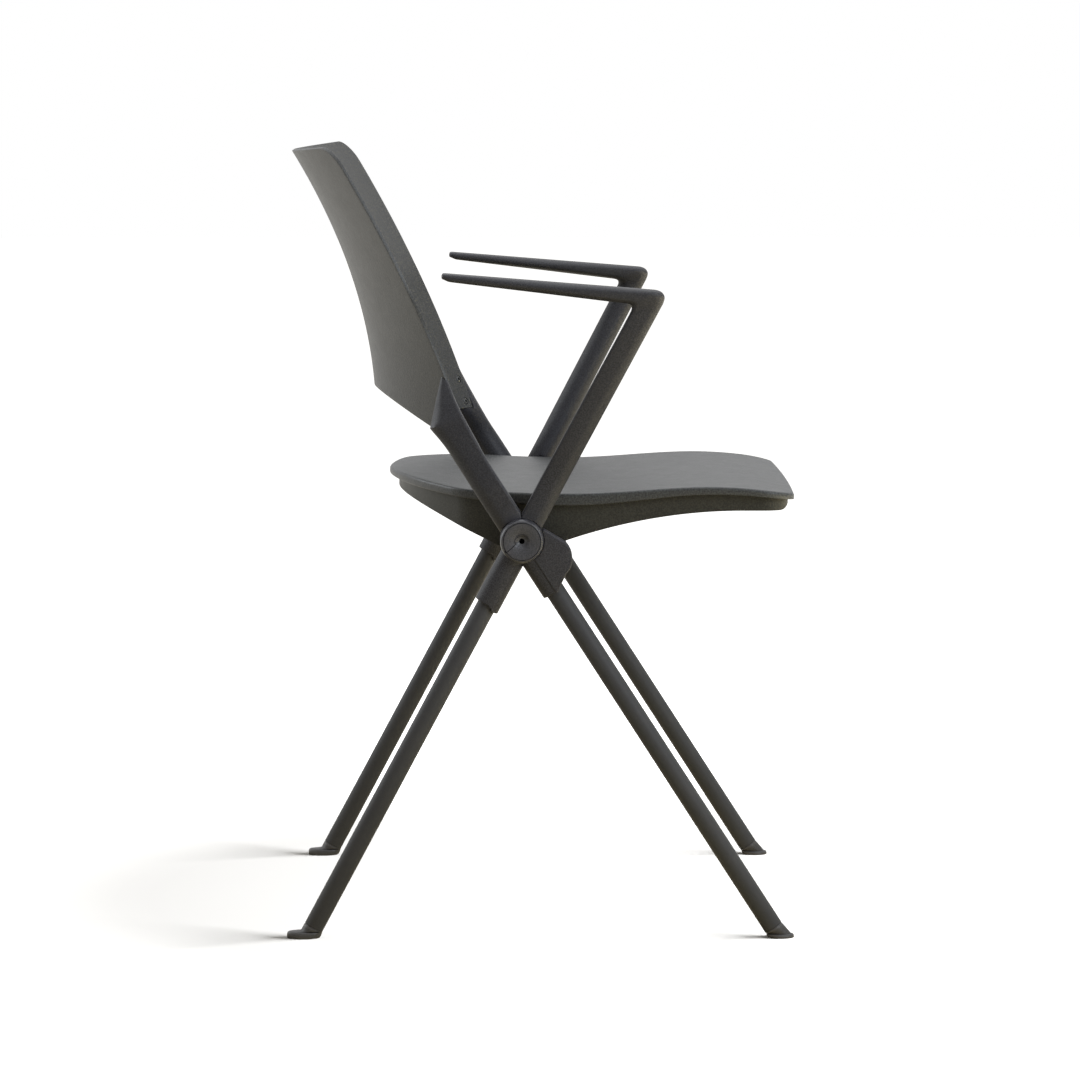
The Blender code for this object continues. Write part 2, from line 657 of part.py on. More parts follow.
def hub(side, sign):
    middle = Vector((sign * HUB_X, 0, 0))
    out = Vector((sign, 0, 0))
    obj = cylinder("hub_" + side, BARREL_RADIUS, middle - out * BARREL_INNER, middle + out * BARREL_OUTER)
    place(obj, FRAME_PLASTIC)
    sockets = (("rear", REAR_LEG, REAR_SOCKET_LENGTH), ("front", FRONT_LEG, FRONT_SOCKET_LENGTH))
    for name, leg, length in sockets:
        socket = cylinder(name + "_socket_" + side, SOCKET_RADIUS, middle, middle + leg * length)
        boolean(obj, place(socket), "UNION")
    for name, member in (("post", POST), ("arm", UPRIGHT)):
        size = (TENON_WIDTH, TENON_WIDTH, TENON_END - TENON_START)
        tenon = block(name + "_tenon_" + side, size,
                      side_matrix(member, (TENON_START + TENON_END) / 2, 0, middle.x))
        boolean(obj, place(tenon), "UNION")
    lug_x = middle.x - sign * (BRACKET_INNER + FIT + LUG_THICKNESS / 2)
    lug = block("lug_" + side, (LUG_THICKNESS, LUG_SIDE + LUG_WIDTH / 2, LUG_WIDTH),
                side_matrix(FRONT_LEG, LUG_ALONG, (LUG_SIDE + LUG_WIDTH / 2) / 2, lug_x))
    boolean(obj, place(lug), "UNION")
    for name, leg, length in sockets:
        bore = cylinder(name + "_leg_bore_" + side, TUBE_RADIUS + FIT, middle + leg * SOCKET_FLOOR,
                        middle + leg * (length + SOCKET_RADIUS))
        boolean(obj, place(bore))
    drilled = ((CROSSBAR_RADIUS + FIT, -2 * BARREL_INNER, -WEB_INNER),
               (HUB_SCREW_RADIUS + FIT, -BARREL_INNER, BARREL_OUTER),
               (CAP_SKIRT_RADIUS + FIT, WEB_OUTER, 2 * BARREL_OUTER),
               (BARREL_RADIUS + FIT, BARREL_OUTER, 2 * BARREL_OUTER))
    for radius, start, end in drilled:
        bore = cylinder("axis_bore_" + side, radius, middle + out * start, middle + out * end)
        boolean(obj, place(bore))
    return obj


def leg(label, side, sign, direction, hub_obj):
    """A leg tube from its socket to its glide, held by a screw in the socket's inner side."""
    end = HUB_HEIGHT / -direction.z - GLIDE_HEIGHT
    start = SOCKET_FLOOR + FIT
    inner = TUBE_RADIUS - TUBE_WALL
    profile = [(TUBE_RADIUS, -start), (TUBE_RADIUS, -end), (inner, -end), (inner, -start)]
    tube = turned(label + "_leg_" + side, profile, closed=True)
    tube.matrix_local = frame_matrix((sign * HUB_X, 0, 0), -direction)
    place(tube, POWDER_COAT)
    inward = Vector((-sign, 0, 0))
    centre = direction * LEG_SCREW_ALONG + Vector((sign * HUB_X, 0, 0))
    face = centre + inward * SOCKET_RADIUS
    drill(tube, SHANK_HOLE, face, centre)
    drill(hub_obj, SHANK_HOLE, face + inward * HEAD_HEIGHT, centre)
    screw(label + "_leg_screw_" + side, face + inward * FIT, -inward, SOCKET_RADIUS - inner + 2 * TUBE_WALL)


def glide(label, side, sign, direction, toe):
    """A foot: a flat sole with a toe, rising to the tube's end and plugging into it."""
    foot = direction * (HUB_HEIGHT / -direction.z)
    outward = math.copysign(1, direction.y)
    length = (toe + GLIDE_HEEL) / 2
    middle = foot + Vector((sign * HUB_X, outward * (toe - GLIDE_HEEL) / 2, 0))
    across = Vector((0, outward * -direction.z, outward * direction.y))
    plug = TUBE_RADIUS - TUBE_WALL - FIT
    rings = []
    turns = [2 * math.pi * i / GLIDE_SIDES for i in range(GLIDE_SIDES)]
    for shrink, height in ((GLIDE_EDGE, 0), (0, GLIDE_EDGE), (0, GLIDE_SOLE - GLIDE_SHOULDER),
                           (GLIDE_SHOULDER, GLIDE_SOLE)):
        rings.append([middle + Vector(((GLIDE_HALF_WIDTH - shrink) * math.sin(a),
                                       outward * (length - shrink) * math.cos(a), height)) for a in turns])
    for radius, back in ((TUBE_RADIUS, GLIDE_HEIGHT - FIT), (plug, GLIDE_HEIGHT - FIT),
                         (plug, GLIDE_HEIGHT + GLIDE_PLUG_LENGTH)):
        ring_middle = foot - direction * back + Vector((sign * HUB_X, 0, 0))
        rings.append([ring_middle + across * radius * math.cos(a) + Vector((radius * math.sin(a), 0, 0))
                      for a in turns])
    place(loft(label + "_glide_" + side, rings), BUSH_PLASTIC)


def stop_bracket(side, sign, hub_obj):
    """The rounded plate on the front leg's socket, with a ledge under the pan that carries the buffer."""
    end = FRONT_SOCKET_LENGTH
    nose = arc((NOSE_ALONG, NOSE_SIDE), NOSE_RADIUS, NOSE_START, NOSE_END, 8)
    flat = [(TENON_START, 0), (BRACKET_TOP_ALONG, BRACKET_TOP_SIDE)] + nose + [(end, TUBE_RADIUS), (end, 0)]
    points = [side_point(FRONT_LEG, along, side_reach) for along, side_reach in flat]
    shift = Matrix.Translation((sign * (HUB_X + (BRACKET_OUTER - BRACKET_INNER) / 2), 0, 0))
    obj = extruded("stop_bracket_" + side, [(p.y, p.z) for p in points], BRACKET_OUTER + BRACKET_INNER,
                   shift @ SIDE_PLANE)
    place(obj, FRAME_PLASTIC)
    middle = Vector((sign * HUB_X, 0, 0))
    out = Vector((sign, 0, 0))
    around = cylinder("barrel_clear_" + side, BARREL_CUT, middle - out * OVERSHOOT, middle + out * OVERSHOOT)
    boolean(obj, place(around))
    socket = cylinder("socket_clear_" + side, SOCKET_RADIUS + FIT, middle,
                      middle + FRONT_LEG * (end + OVERSHOOT))
    boolean(obj, place(socket))
    slope = 2 * (PAN_FLAT_RISE + PAN_KEEL) * (PAN_FLAT_REACH - STOP_REACH) / PAN_FLAT_REACH ** 2
    up = Vector((0, slope, 1)).normalized()
    contact = Vector((0, -STOP_REACH, pan_floor(-STOP_REACH)))
    pan_side = SEAT_WIDTH / 2 - PAN_INSET
    turn = Matrix.Rotation(-math.atan(slope), 4, "X")
    buffer_x = sign * (pan_side - STOP_WIDTH / 2)
    buffer_at = contact - up * (FIT + BUFFER_HEIGHT / 2) + Vector((buffer_x, 0, 0))
    pad = block("stop_buffer_" + side, (STOP_WIDTH - 2 * FIT, BUFFER_LENGTH, BUFFER_HEIGHT),
                Matrix.Translation(buffer_at) @ turn)
    place(pad, BUFFER_RUBBER)
    reach = HUB_X - pan_side + STOP_WIDTH
    ledge_at = contact - up * (2 * FIT + BUFFER_HEIGHT + LEDGE_HEIGHT / 2)
    ledge_at += Vector((sign * (HUB_X - reach / 2), 0, 0))
    ledge = block("ledge_" + side, (reach, LEDGE_LENGTH, LEDGE_HEIGHT), Matrix.Translation(ledge_at) @ turn)
    boolean(obj, place(ledge), "UNION")
    lug_face = HUB_X - BRACKET_INNER - FIT - LUG_THICKNESS
    seat = side_point(FRONT_LEG, LUG_ALONG, LUG_SIDE, sign * (lug_face - FIT))
    tip = seat + out * (LUG_THICKNESS + SCREW_REACH)
    drill(hub_obj, SHANK_HOLE, seat - out * FIT, tip)
    drill(obj, SHANK_HOLE, seat, tip + out * FIT)
    screw("bracket_screw_" + side, seat, out, LUG_THICKNESS + SCREW_REACH - FIT)


def back_rim(height):
    """Rearward reach of the back shell's rear face at its side edges."""
    return BACK_REACH - BACK_WRAP + RIM_TILT * height + RIM_BOW * (height / BACK_HEIGHT) ** 2


def rim_point(height, offset):
    """A point of the side view at a height above the back's lower edge and off its rim line."""
    return Vector((back_rim(height) + offset, BACK_RISE + height))


def back_point(x, height):
    """A point of the back shell's rear face, at a height above its lower edge's middle."""
    centre = BACK_REACH + CENTRE_TILT * height + CENTRE_BOW * (height / BACK_HEIGHT) ** 2
    share = 2 * x / BACK_WRAP_WIDTH
    return Vector((x, centre - (centre - back_rim(height)) * share ** 2, BACK_RISE + height))


def back_normal(x, height):
    step = 0.0005
    across = back_point(x + step, height) - back_point(x - step, height)
    up = back_point(x, height + step) - back_point(x, height - step)
    return up.cross(across).normalized()


def lower_edge(x):
    """Height of the back's lower edge: it droops to the sides and drops into an ear at each corner."""
    droop = LOWER_EDGE_DROOP * (2 * x / BACK_WIDTH) ** 3
    share = (x - BACK_WIDTH / 2 + EAR_WIDTH) / EAR_RUN
    return -droop - (EAR_DROP - droop) * min(max(share, 0), 1)


def back_sheet(name, grow):
    """The back's rear face as an open sheet, with ears at its lower corners; grown for a clearance."""
    half = BACK_WIDTH / 2
    ear = half - EAR_WIDTH
    columns = [ear * i / 4 for i in range(5)] + [ear + EAR_RUN, half]
    columns = [-x for x in columns[:0:-1]] + columns
    levels, corner_steps = 8, 3
    bm = bmesh.new()
    rows = []
    for level in range(levels + corner_steps + 1):
        angle = math.pi / 2 * max(0, level - levels) / corner_steps
        narrow = 1 - BACK_CORNER * (1 - math.cos(angle)) / half
        row = []
        for x in columns:
            bottom = lower_edge(abs(x)) - grow
            top = BACK_HEIGHT + UPPER_EDGE_RISE * (x / half) ** 2 + grow
            height = bottom + (top - BACK_CORNER - bottom) * min(1, level / levels)
            height += BACK_CORNER * math.sin(angle)
            row.append(bm.verts.new(back_point(x * narrow * (half + grow) / half, height)))
        rows.append(row)
    for low, high in zip(rows, rows[1:]):
        for i in range(len(low) - 1):
            bm.faces.new((low[i + 1], low[i], high[i], high[i + 1]))
    bmesh.ops.triangulate(bm, faces=bm.faces, quad_method="FIXED")
    bm.normal_update()
    return from_bmesh(name, bm)


def back_shell():
    shell = back_sheet("back_shell", 0)
    skin = shell.modifiers.new("skin", "SOLIDIFY")
    skin.thickness = BACK_SKIN
    skin.offset = -1
    skin.use_even_offset = True
    return place(shell, BACK_PLASTIC)


def lap_cutter():
    """All that lies in front of the back shell's rear face, with its clearance."""
    cutter = back_sheet("lap_cutter", FIT)
    skin = cutter.modifiers.new("skin", "SOLIDIFY")
    skin.thickness = LAP_DEPTH
    skin.offset = 2 * FIT / LAP_DEPTH - 1
    skin.use_even_offset = True
    return place(cutter)


def trim(obj, toward):
    """Cuts a member back to the plane where post and upright meet over the hub."""
    lean = (FRONT_LEG_LEAN - UPRIGHT_LEAN) / 2
    meeting = Vector((0, math.sin(lean), math.cos(lean)))
    size = 2 * TENON_END
    side = toward * (size / 2 - FIT / 2)
    piece = block(obj.name + "_trim", (4 * HUB_X, size, size), side_matrix(meeting, 0, side, 0))
    boolean(obj, place(piece))


def hollow_for_hub(obj, direction, sign, toward):
    """Cuts a member for the hub's barrel, its tenon and the neighbouring member."""
    middle = Vector((sign * HUB_X, 0, 0))
    out = Vector((sign, 0, 0))
    barrel = cylinder(obj.name + "_barrel", BARREL_CUT, middle - out * OVERSHOOT, middle + out * OVERSHOOT)
    boolean(obj, place(barrel))
    trim(obj, toward)
    size = (TENON_WIDTH + 2 * FIT, TENON_WIDTH + 2 * FIT, TENON_END + FIT)
    pocket = block(obj.name + "_pocket", size, side_matrix(direction, (TENON_END + FIT) / 2, 0, middle.x))
    boolean(obj, place(pocket))


def back_post(side, sign, hub_obj, lap):
    """A post that leans in from the hub, laps onto the back shell and has a channel on its inner side."""
    half = POST_WIDTH / 2
    sections = []
    for along in (TENON_START, ARM_STRAIGHT, POST_STRAIGHT):
        sections.append((side_point(POST, along, -half).yz, side_point(POST, along, half).yz, POST_DEPTH))
    tops = ((rim_point(POST_BEND_FRONT_HEIGHT, POST_BEND_FRONT_OFFSET),
             rim_point(POST_BEND_REAR_HEIGHT, POST_BEND_REAR_OFFSET), POST_DEPTH),
            (rim_point(POST_HEEL_FRONT_HEIGHT, POST_HEEL_FRONT_OFFSET),
             rim_point(POST_HEEL_REAR_HEIGHT, POST_HEEL_REAR_OFFSET), POST_DEPTH),
            (rim_point(POST_NECK_FRONT_HEIGHT, POST_NECK_FRONT_OFFSET),
             rim_point(POST_NECK_REAR_HEIGHT, POST_NECK_REAR_OFFSET), POST_NECK_DEPTH),
            (rim_point(POST_TIP_FRONT_HEIGHT, POST_TIP_FRONT_OFFSET),
             rim_point(POST_TIP_REAR_HEIGHT, POST_TIP_REAR_OFFSET), POST_TIP_DEPTH))
    sections.extend(tops)
    bend = POST.z * ARM_STRAIGHT
    rings = []
    grooves = []
    for front, rear, depth in sections:
        middle = (front + rear) / 2
        share = max(0, (middle.y - bend) / (BACK_RISE - bend))
        x = HUB_X + (BACK_WIDTH / 2 + POST_TOP_OFFSET - HUB_X) * share - (POST_DEPTH - depth) / 2
        rings.append(bar_section(front, rear, sign * x, depth, POST_ROUND))
        across = (front - rear).normalized() * CHANNEL_WIDTH / 2
        grooves.append(bar_section(middle + across, middle - across, sign * (x - depth / 2),
                                   2 * CHANNEL_DEPTH, CHANNEL_DEPTH / 2))
    obj = place(loft("back_post_" + side, rings), FRAME_PLASTIC)
    hollow_for_hub(obj, POST, sign, -1)
    boolean(obj, lap)
    boolean(obj, place(loft("channel_" + side, grooves[1:4])))
    tenon_screw(obj, hub_obj, "post_screw_" + side, POST, sign, POST_DEPTH)
    return obj


def back_screw(side, sign, label, height, post, shell):
    x = BACK_WIDTH / 2 - BACK_SCREW_INSET
    at = back_point(sign * x, height)
    out = back_normal(sign * x, height)
    seat = at - out * (BACK_SKIN + FIT)
    tip = at + out * SCREW_REACH
    drill(shell, SHANK_HOLE, seat - out * FIT, tip)
    drill(post, SHANK_HOLE, at - out * BACK_SKIN, tip + out * FIT)
    screw("back_screw_" + label + "_" + side, seat, out, BACK_SKIN + SCREW_REACH)


def crossing(a, b, c, d):
    """Where two lines of the side view cross, each given by two points."""
    along, other = b - a, d - c
    share = (c - a).cross(other) / along.cross(other)
    return a + along * share


def fillet(corner, before, after, setback, steps=5):
    """A curve that leaves one line before its corner and joins the other after it."""
    start, end = corner - before * setback, corner + after * setback
    points = []
    for i in range(steps + 1):
        t = i / steps
        points.append(start * (1 - t) ** 2 + corner * 2 * t * (1 - t) + end * t ** 2)
    return points


def arm(side, sign, hub_obj):
    """Upright and armrest in one: the upright leans outward, and its corner folds back into the armrest."""
    half = UPRIGHT_WIDTH / 2
    up = UPRIGHT.yz
    top_along = (ARM_RISE - UPRIGHT.y * half) / UPRIGHT.z
    corner = side_point(UPRIGHT, top_along, -half).yz
    back = Vector((1, ARM_SLOPE)).normalized()
    tip = corner + back * ((ARM_TIP_REACH - corner.x) / back.x)
    under = Vector((1, ARM_UNDER_SLOPE)).normalized()
    tip_under = tip + Vector((-ARM_TIP_SETBACK, -ARM_TIP_HEIGHT))
    rear_foot = side_point(UPRIGHT, 0, half).yz
    inner = crossing(rear_foot, rear_foot + up, tip_under, tip_under - under)
    fold = (-up).angle(back)
    outer_set = ARM_CORNER_RADIUS / math.tan(fold / 2)
    inner_set = ARM_INNER_RADIUS / math.tan(fold / 2)
    outer_arc = fillet(corner, up, back, outer_set)
    inner_arc = fillet(inner, up, under, inner_set)
    bend = top_along - outer_set
    rings = []
    for along in (TENON_START, ARM_STRAIGHT, (ARM_STRAIGHT + bend) / 2):
        front, rear = side_point(UPRIGHT, along, -half), side_point(UPRIGHT, along, half)
        x = HUB_X + ARM_SPREAD * max(0, (along - ARM_STRAIGHT) / (bend - ARM_STRAIGHT))
        rings.append(bar_section(front.yz, rear.yz, sign * x, UPRIGHT_DEPTH, ARM_ROUND))
    x = sign * (HUB_X + ARM_SPREAD)
    steps = len(outer_arc) - 1
    for i, (front, rear) in enumerate(zip(outer_arc, inner_arc)):
        depth = UPRIGHT_DEPTH + (ARM_CORNER_WIDTH - UPRIGHT_DEPTH) * i / steps
        rings.append(bar_section(front, rear, x, depth, ARM_ROUND + (ARMREST_ROUND - ARM_ROUND) * i / steps))
    for share in ARMREST_STATIONS:
        front = outer_arc[-1].lerp(tip, share)
        rear = inner_arc[-1].lerp(tip_under, share)
        depth = ARMREST_WIDTH + (ARMREST_TIP_WIDTH - ARMREST_WIDTH) * share
        rings.append(bar_section(front, rear, x, depth, ARMREST_ROUND))
    end = tip - Vector((0, ARM_TIP_DROP))
    rings.append(bar_section(end, end - Vector((0, ARM_TIP_EDGE)), x, ARM_TIP_END_WIDTH, ARMREST_ROUND))
    obj = place(loft("arm_" + side, rings), FRAME_PLASTIC)
    hollow_for_hub(obj, UPRIGHT, sign, 1)
    tenon_screw(obj, hub_obj, "arm_screw_" + side, UPRIGHT, sign, UPRIGHT_DEPTH)


def build():
    shell = back_shell()
    lap = lap_cutter()
    seat_shell()
    seat_pan()
    crossbar()
    for side, sign in SIDES.items():
        hub_obj = hub(side, sign)
        hub_cap(side, sign)
        hub_screw(side, sign)
        pivot_bush(side, sign)
        stop_bracket(side, sign, hub_obj)
        leg("rear", side, sign, REAR_LEG, hub_obj)
        leg("front", side, sign, FRONT_LEG, hub_obj)
        glide("rear", side, sign, REAR_LEG, REAR_GLIDE_TOE)
        glide("front", side, sign, FRONT_LEG, FRONT_GLIDE_TOE)
        post = back_post(side, sign, hub_obj, lap)
        for label, height in (("upper", UPPER_SCREW_HEIGHT), ("lower", LOWER_SCREW_HEIGHT)):
            back_screw(side, sign, label, height, post, shell)
        arm(side, sign, hub_obj)


build()
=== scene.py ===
"""Tip-up armchair with crossed side frames: its finished pieces, their finishes and a studio stage.

Metres, +Z up, front toward -Y. A piece is modelled about the hub axis and then set at its place.
"""
import json
import math

import bmesh
import bpy
from bpy.props import FloatProperty, FloatVectorProperty, PointerProperty
from mathutils import Matrix, Vector

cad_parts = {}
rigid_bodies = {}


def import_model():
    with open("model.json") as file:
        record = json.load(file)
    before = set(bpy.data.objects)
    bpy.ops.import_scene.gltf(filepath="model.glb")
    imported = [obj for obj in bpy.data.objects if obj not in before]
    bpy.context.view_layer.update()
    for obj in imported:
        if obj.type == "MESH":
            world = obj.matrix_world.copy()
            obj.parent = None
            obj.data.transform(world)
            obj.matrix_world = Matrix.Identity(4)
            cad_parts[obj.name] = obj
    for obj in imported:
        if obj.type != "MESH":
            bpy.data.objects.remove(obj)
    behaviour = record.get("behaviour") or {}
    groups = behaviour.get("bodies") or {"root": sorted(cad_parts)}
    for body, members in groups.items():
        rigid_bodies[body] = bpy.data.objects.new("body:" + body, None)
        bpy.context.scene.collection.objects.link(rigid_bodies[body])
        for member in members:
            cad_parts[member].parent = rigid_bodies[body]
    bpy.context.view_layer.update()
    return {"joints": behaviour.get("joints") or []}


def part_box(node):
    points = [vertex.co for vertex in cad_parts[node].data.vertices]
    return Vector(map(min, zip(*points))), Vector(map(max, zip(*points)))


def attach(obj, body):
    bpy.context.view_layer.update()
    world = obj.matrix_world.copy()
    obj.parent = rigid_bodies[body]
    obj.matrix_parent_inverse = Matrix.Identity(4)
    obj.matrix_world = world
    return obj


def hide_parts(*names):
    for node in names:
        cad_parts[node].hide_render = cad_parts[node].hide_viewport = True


bl_info = {
    "name": "Tip-up armchair",
    "version": (1, 0, 0),
    "blender": (4, 5, 0),
    "location": "3D View > Sidebar > Armchair",
    "description": "Builds the finished pieces of a tip-up armchair on its frame, and a stage for it",
    "category": "Add Mesh",
}

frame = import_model()

# Places taken from the frame
AXIS = Vector(frame["joints"][0]["pos_m"])
TUBE_LOW, TUBE_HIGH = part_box("rear_leg_left")
SEAT_LOW, SEAT_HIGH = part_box("seat_shell")
HUB_X = (TUBE_LOW.x + TUBE_HIGH.x) / 2
HUB = Vector((HUB_X, 0, 0))
OUT = Vector((1, 0, 0))
SIDES = (1, -1)
QUARTER = math.pi / 2

# How far the seat's front edge stands behind that of the frame's solid
FRONT_TRIM = 0.0045
# Gap between pieces that touch, reach of a cut past a piece, distance of points that are one
FIT = 0.0003
OVERSHOOT = 0.05
MERGE = 0.000002
# Facets of a full turn: tubes and barrels, small holes and plugs, screws, caps, feet
ROUND_STEPS, SMALL_STEPS, SCREW_STEPS, CAP_STEPS, FOOT_STEPS = 64, 32, 30, 96, 48
# Angles from which an edge is rounded: most edges, the back's rim, the ends of the bars
SHARP, RIM_SHARP, END_SHARP = (math.radians(angle) for angle in (38, 55, 60))


def length(name, description, default):
    return FloatProperty(name=name, description=description, default=default, unit="LENGTH", precision=4)


def turn(name, description, degrees):
    return FloatProperty(name=name, description=description, default=math.radians(degrees), subtype="ANGLE")


def share(name, description, default):
    return FloatProperty(name=name, description=description, default=default, subtype="FACTOR", min=0, max=1)


def colour(name, description, default):
    return FloatVectorProperty(name=name, description=description, default=default, size=3,
                               subtype="COLOR", min=0, max=1)


def spot(name, description, default):
    return FloatVectorProperty(name=name, description=description, default=default, size=2, unit="LENGTH")


class SeatSizes(bpy.types.PropertyGroup):
    """Seat shell; rises and reaches are from the hub axis."""
    width: length("Width", "Across the seat", SEAT_HIGH.x - SEAT_LOW.x)
    rear: length("Rear reach", "From the hub axis to the rear edge", SEAT_HIGH.y - AXIS.y)
    front: length("Front reach", "From the hub axis to the front edge", AXIS.y - SEAT_LOW.y - FRONT_TRIM)
    rear_radius: length("Rear radius", "Of the round rear edge", 0.340)
    front_radius: length("Front radius", "Of the bowed front edge", 6.000)
    rear_corner: length("Rear corner", "Radius of the rear corners", 0.055)
    front_corner: length("Front corner", "Radius of the front corners", 0.036)
    low_rise: length("Hollow rise", "Height of the hollow over the hubs", 0.0452)
    low_reach: length("Hollow reach", "How far the hollow lies ahead of the hubs", 0.055)
    crest_rise: length("Crest rise", "Height of the crest behind the front edge", 0.052)
    crest_reach: length("Crest reach", "How far the crest lies ahead of the hubs", 0.195)
    rear_rise: length("Rear rise", "Height of the rear edge", 0.0588)
    front_rise: length("Front rise", "Height of the falling front edge", 0.0425)
    skin: length("Skin", "Thickness of the seat shell", 0.004)
    rim_depth: length("Rim depth", "Height of the rim band", 0.0090)
    rim_radius: length("Rim radius", "Rounding between top and rim", 0.0028)
    roll: length("Roll", "How far before the rear edge the top starts to roll off", 0.020)
    roll_drop: length("Roll drop", "How far the top falls to the rear edge", 0.0035)
    rim_sag: length("Rim sag", "How much deeper the rim is beside the hubs", 0.0035)
    sag_reach: length("Sag reach", "How far the rim's deepest place lies ahead of the hubs", 0.045)
    sag_run: length("Sag run", "From there to where the rim has its plain depth", 0.130)
    rim_lift: length("Rim lift", "How much shallower the rim is at the front", 0.0024)
    lift_reach: length("Lift reach", "Where the rim starts to get shallower", 0.140)
    lip: length("Lip", "Rounding of the thin edges", 0.0007)


class PanSizes(bpy.types.PropertyGroup):
    """Seat pan under the shell; rises and reaches are from the hub axis."""
    inset: length("Inset", "From the seat's edge to the pan's wall", 0.010)
    front_inset: length("Front inset", "From the seat's front edge to the pan's front", 0.0065)
    wall: length("Wall", "Thickness of the pan", 0.003)
    drop: length("Drop", "From the seat's top to the pan's upper edge", 0.0047)
    keel: length("Keel", "Depth of the pan under the hub axis", 0.0225)
    keel_round: length("Keel rounding", "How softly the keel is rounded", 0.004)
    rear_slope: share("Rear slope", "Steepness of the floor behind the keel", 0.541)
    rear_bow: length("Rear bow", "How far the rear floor bows down", 0.0158)
    flat_reach: length("Flat reach", "Where the front floor runs level", 0.230)
    flat_rise: length("Flat rise", "Height of the level front floor", 0.0262)
    nose: length("Nose", "Rounding under the front end", 0.0085)
    edge: length("Edge", "Rounding along the lower edge", 0.0022)
    boss: length("Boss", "Outer radius of the screw bosses", 0.0095)
    head_hole: length("Head hole", "Radius of the holes under the screws", 0.0041)
    head_depth: length("Head depth", "Of those holes, past the screws' heads", 0.0031)
    boss_gap: length("Boss gap", "From the bosses' tops to the screws' tips", 0.0095)
    bore: length("Bush bore", "Radius of the bores for the pivot bushes", 0.0148)


class BackSizes(bpy.types.PropertyGroup):
    """Back shell; heights are above the middle of its lower edge."""
    width: length("Width", "Across the back", 0.448)
    skin: length("Skin", "Thickness of the back shell", 0.0035)
    rise: length("Rise", "From the hub axis to the lower edge's middle", 0.142)
    height: length("Height", "Of the back along its middle", 0.2555)
    reach: length("Reach", "From the hub axis back to the lower edge's middle", 0.1593)
    wrap: length("Wrap", "How far the sides come forward", 0.0851)
    wrap_width: length("Wrap width", "Width over which the wrap is measured", 0.440)
    centre_tilt: share("Centre tilt", "Lean of the middle", 0.0775)
    centre_bow: length("Centre bow", "How far the middle curls back at the top", 0.0683)
    rim_tilt: share("Rim tilt", "Lean of the side rims", 0.3547)
    rim_bow: length("Rim bow", "How far the rims curl back at the top", 0.0322)
    droop: length("Droop", "How far the lower edge falls to the sides", 0.0566)
    lift: length("Lift", "How far the lower edge's middle is raised", 0.003)
    crown: length("Crown", "How far the upper edge rises to the sides", 0.005)
    corner: length("Corner", "Radius of the upper corners", 0.022)
    ear_width: length("Ear width", "Of the lower corner ears", 0.024)
    ear_run: length("Ear run", "Over which an ear drops", 0.010)
    ear_drop: length("Ear drop", "How far the ears hang down", 0.0405)
    edge: length("Edge", "Rounding of the rim", 0.0009)
    lap: length("Lap", "Depth that is kept clear in front of the rear face", 0.045)


class PostSizes(bpy.types.PropertyGroup):
    """Back posts; heights are above the back's lower edge and offsets from its rim line."""
    lean: turn("Lean", "Of the post from upright", 32.8)
    width: length("Width", "Of the post in side view", 0.0294)
    depth: length("Depth", "Of the post across the chair", 0.026)
    edge_rounding: length("Edge rounding", "Of the post's outer front edge", 0.0030)
    rounding: length("Rounding", "Of the post's other edges", 0.0124)
    lap_rounding: length("Lap rounding", "Of the inner front edge beside the back's ear", 0.016)
    straight: length("Straight", "Straight run from the hub", 0.090)
    pad: length("Pad", "Extra depth on the inside, under the back's ear", 0.010)
    top_offset: length("Top offset", "From the back's edge to the post's middle", 0.0055)
    bend_front: spot("Bend front", "Height and offset of the front edge", (-0.037, -0.0132))
    bend_rear: spot("Bend rear", "Height and offset of the rear edge", (-0.047, 0.0207))
    heel_front: spot("Heel front", "Front edge level with the heel", (-0.012, -0.0077))
    heel_rear: spot("Heel", "Rear corner where the back's edge meets it", (-0.0282, 0.0306))
    neck_front: spot("Neck front", "Front edge halfway to the tip", (0.006, -0.0054))
    neck_rear: spot("Neck rear", "Rear edge halfway to the tip", (0.001, 0.0145))
    tip_front: spot("Tip front", "Front edge at the tip", (0.028, -0.0050))
    tip_rear: spot("Tip rear", "Rear edge at the tip", (0.026, -0.0004))
    neck_depth: length("Neck depth", "Across the chair, halfway to the tip", 0.020)
    tip_depth: length("Tip depth", "Across the chair, at the tip", 0.010)


class ArmSizes(bpy.types.PropertyGroup):
    """Arms: upright and armrest in one."""
    lean: turn("Lean", "Of the upright from vertical", 27.9)
    width: length("Upright width", "Of the upright in side view", 0.0255)
    depth: length("Upright depth", "Of the upright across the chair", 0.026)
    edge_rounding: length("Edge rounding", "Of the upright's outer rear edge", 0.0030)
    rounding: length("Rounding", "Of the upright's other edges", 0.0118)
    straight: length("Straight", "Run from the hub before the upright leans out", 0.065)
    spread: length("Spread", "How far the upright leans out", 0.0313)
    rise: length("Rise", "From the hub axis to the armrest's corner", 0.2584)
    slope: share("Slope", "Rise of the armrest's top to the rear", 0.078)
    under_slope: share("Under slope", "Rise of the armrest's underside", 0.123)
    corner: length("Corner", "Radius of the outer fold", 0.011)
    inner_corner: length("Inner corner", "Radius of the inner fold", 0.006)
    tip_reach: length("Tip reach", "From the hub axis back to the tip", 0.082)
    tip_height: length("Tip height", "Of the armrest just before its tip", 0.0085)
    tip_run: length("Tip run", "Over which the tip thins", 0.0095)
    rest_width: length("Armrest width", "At the fold", 0.046)
    tip_width: length("Tip width", "Of the armrest just before its tip", 0.036)
    fold_width: length("Fold width", "Across the chair at the end of the fold", 0.038)
    rest_rounding: length("Armrest rounding", "Of the armrest's edges", 0.0085)


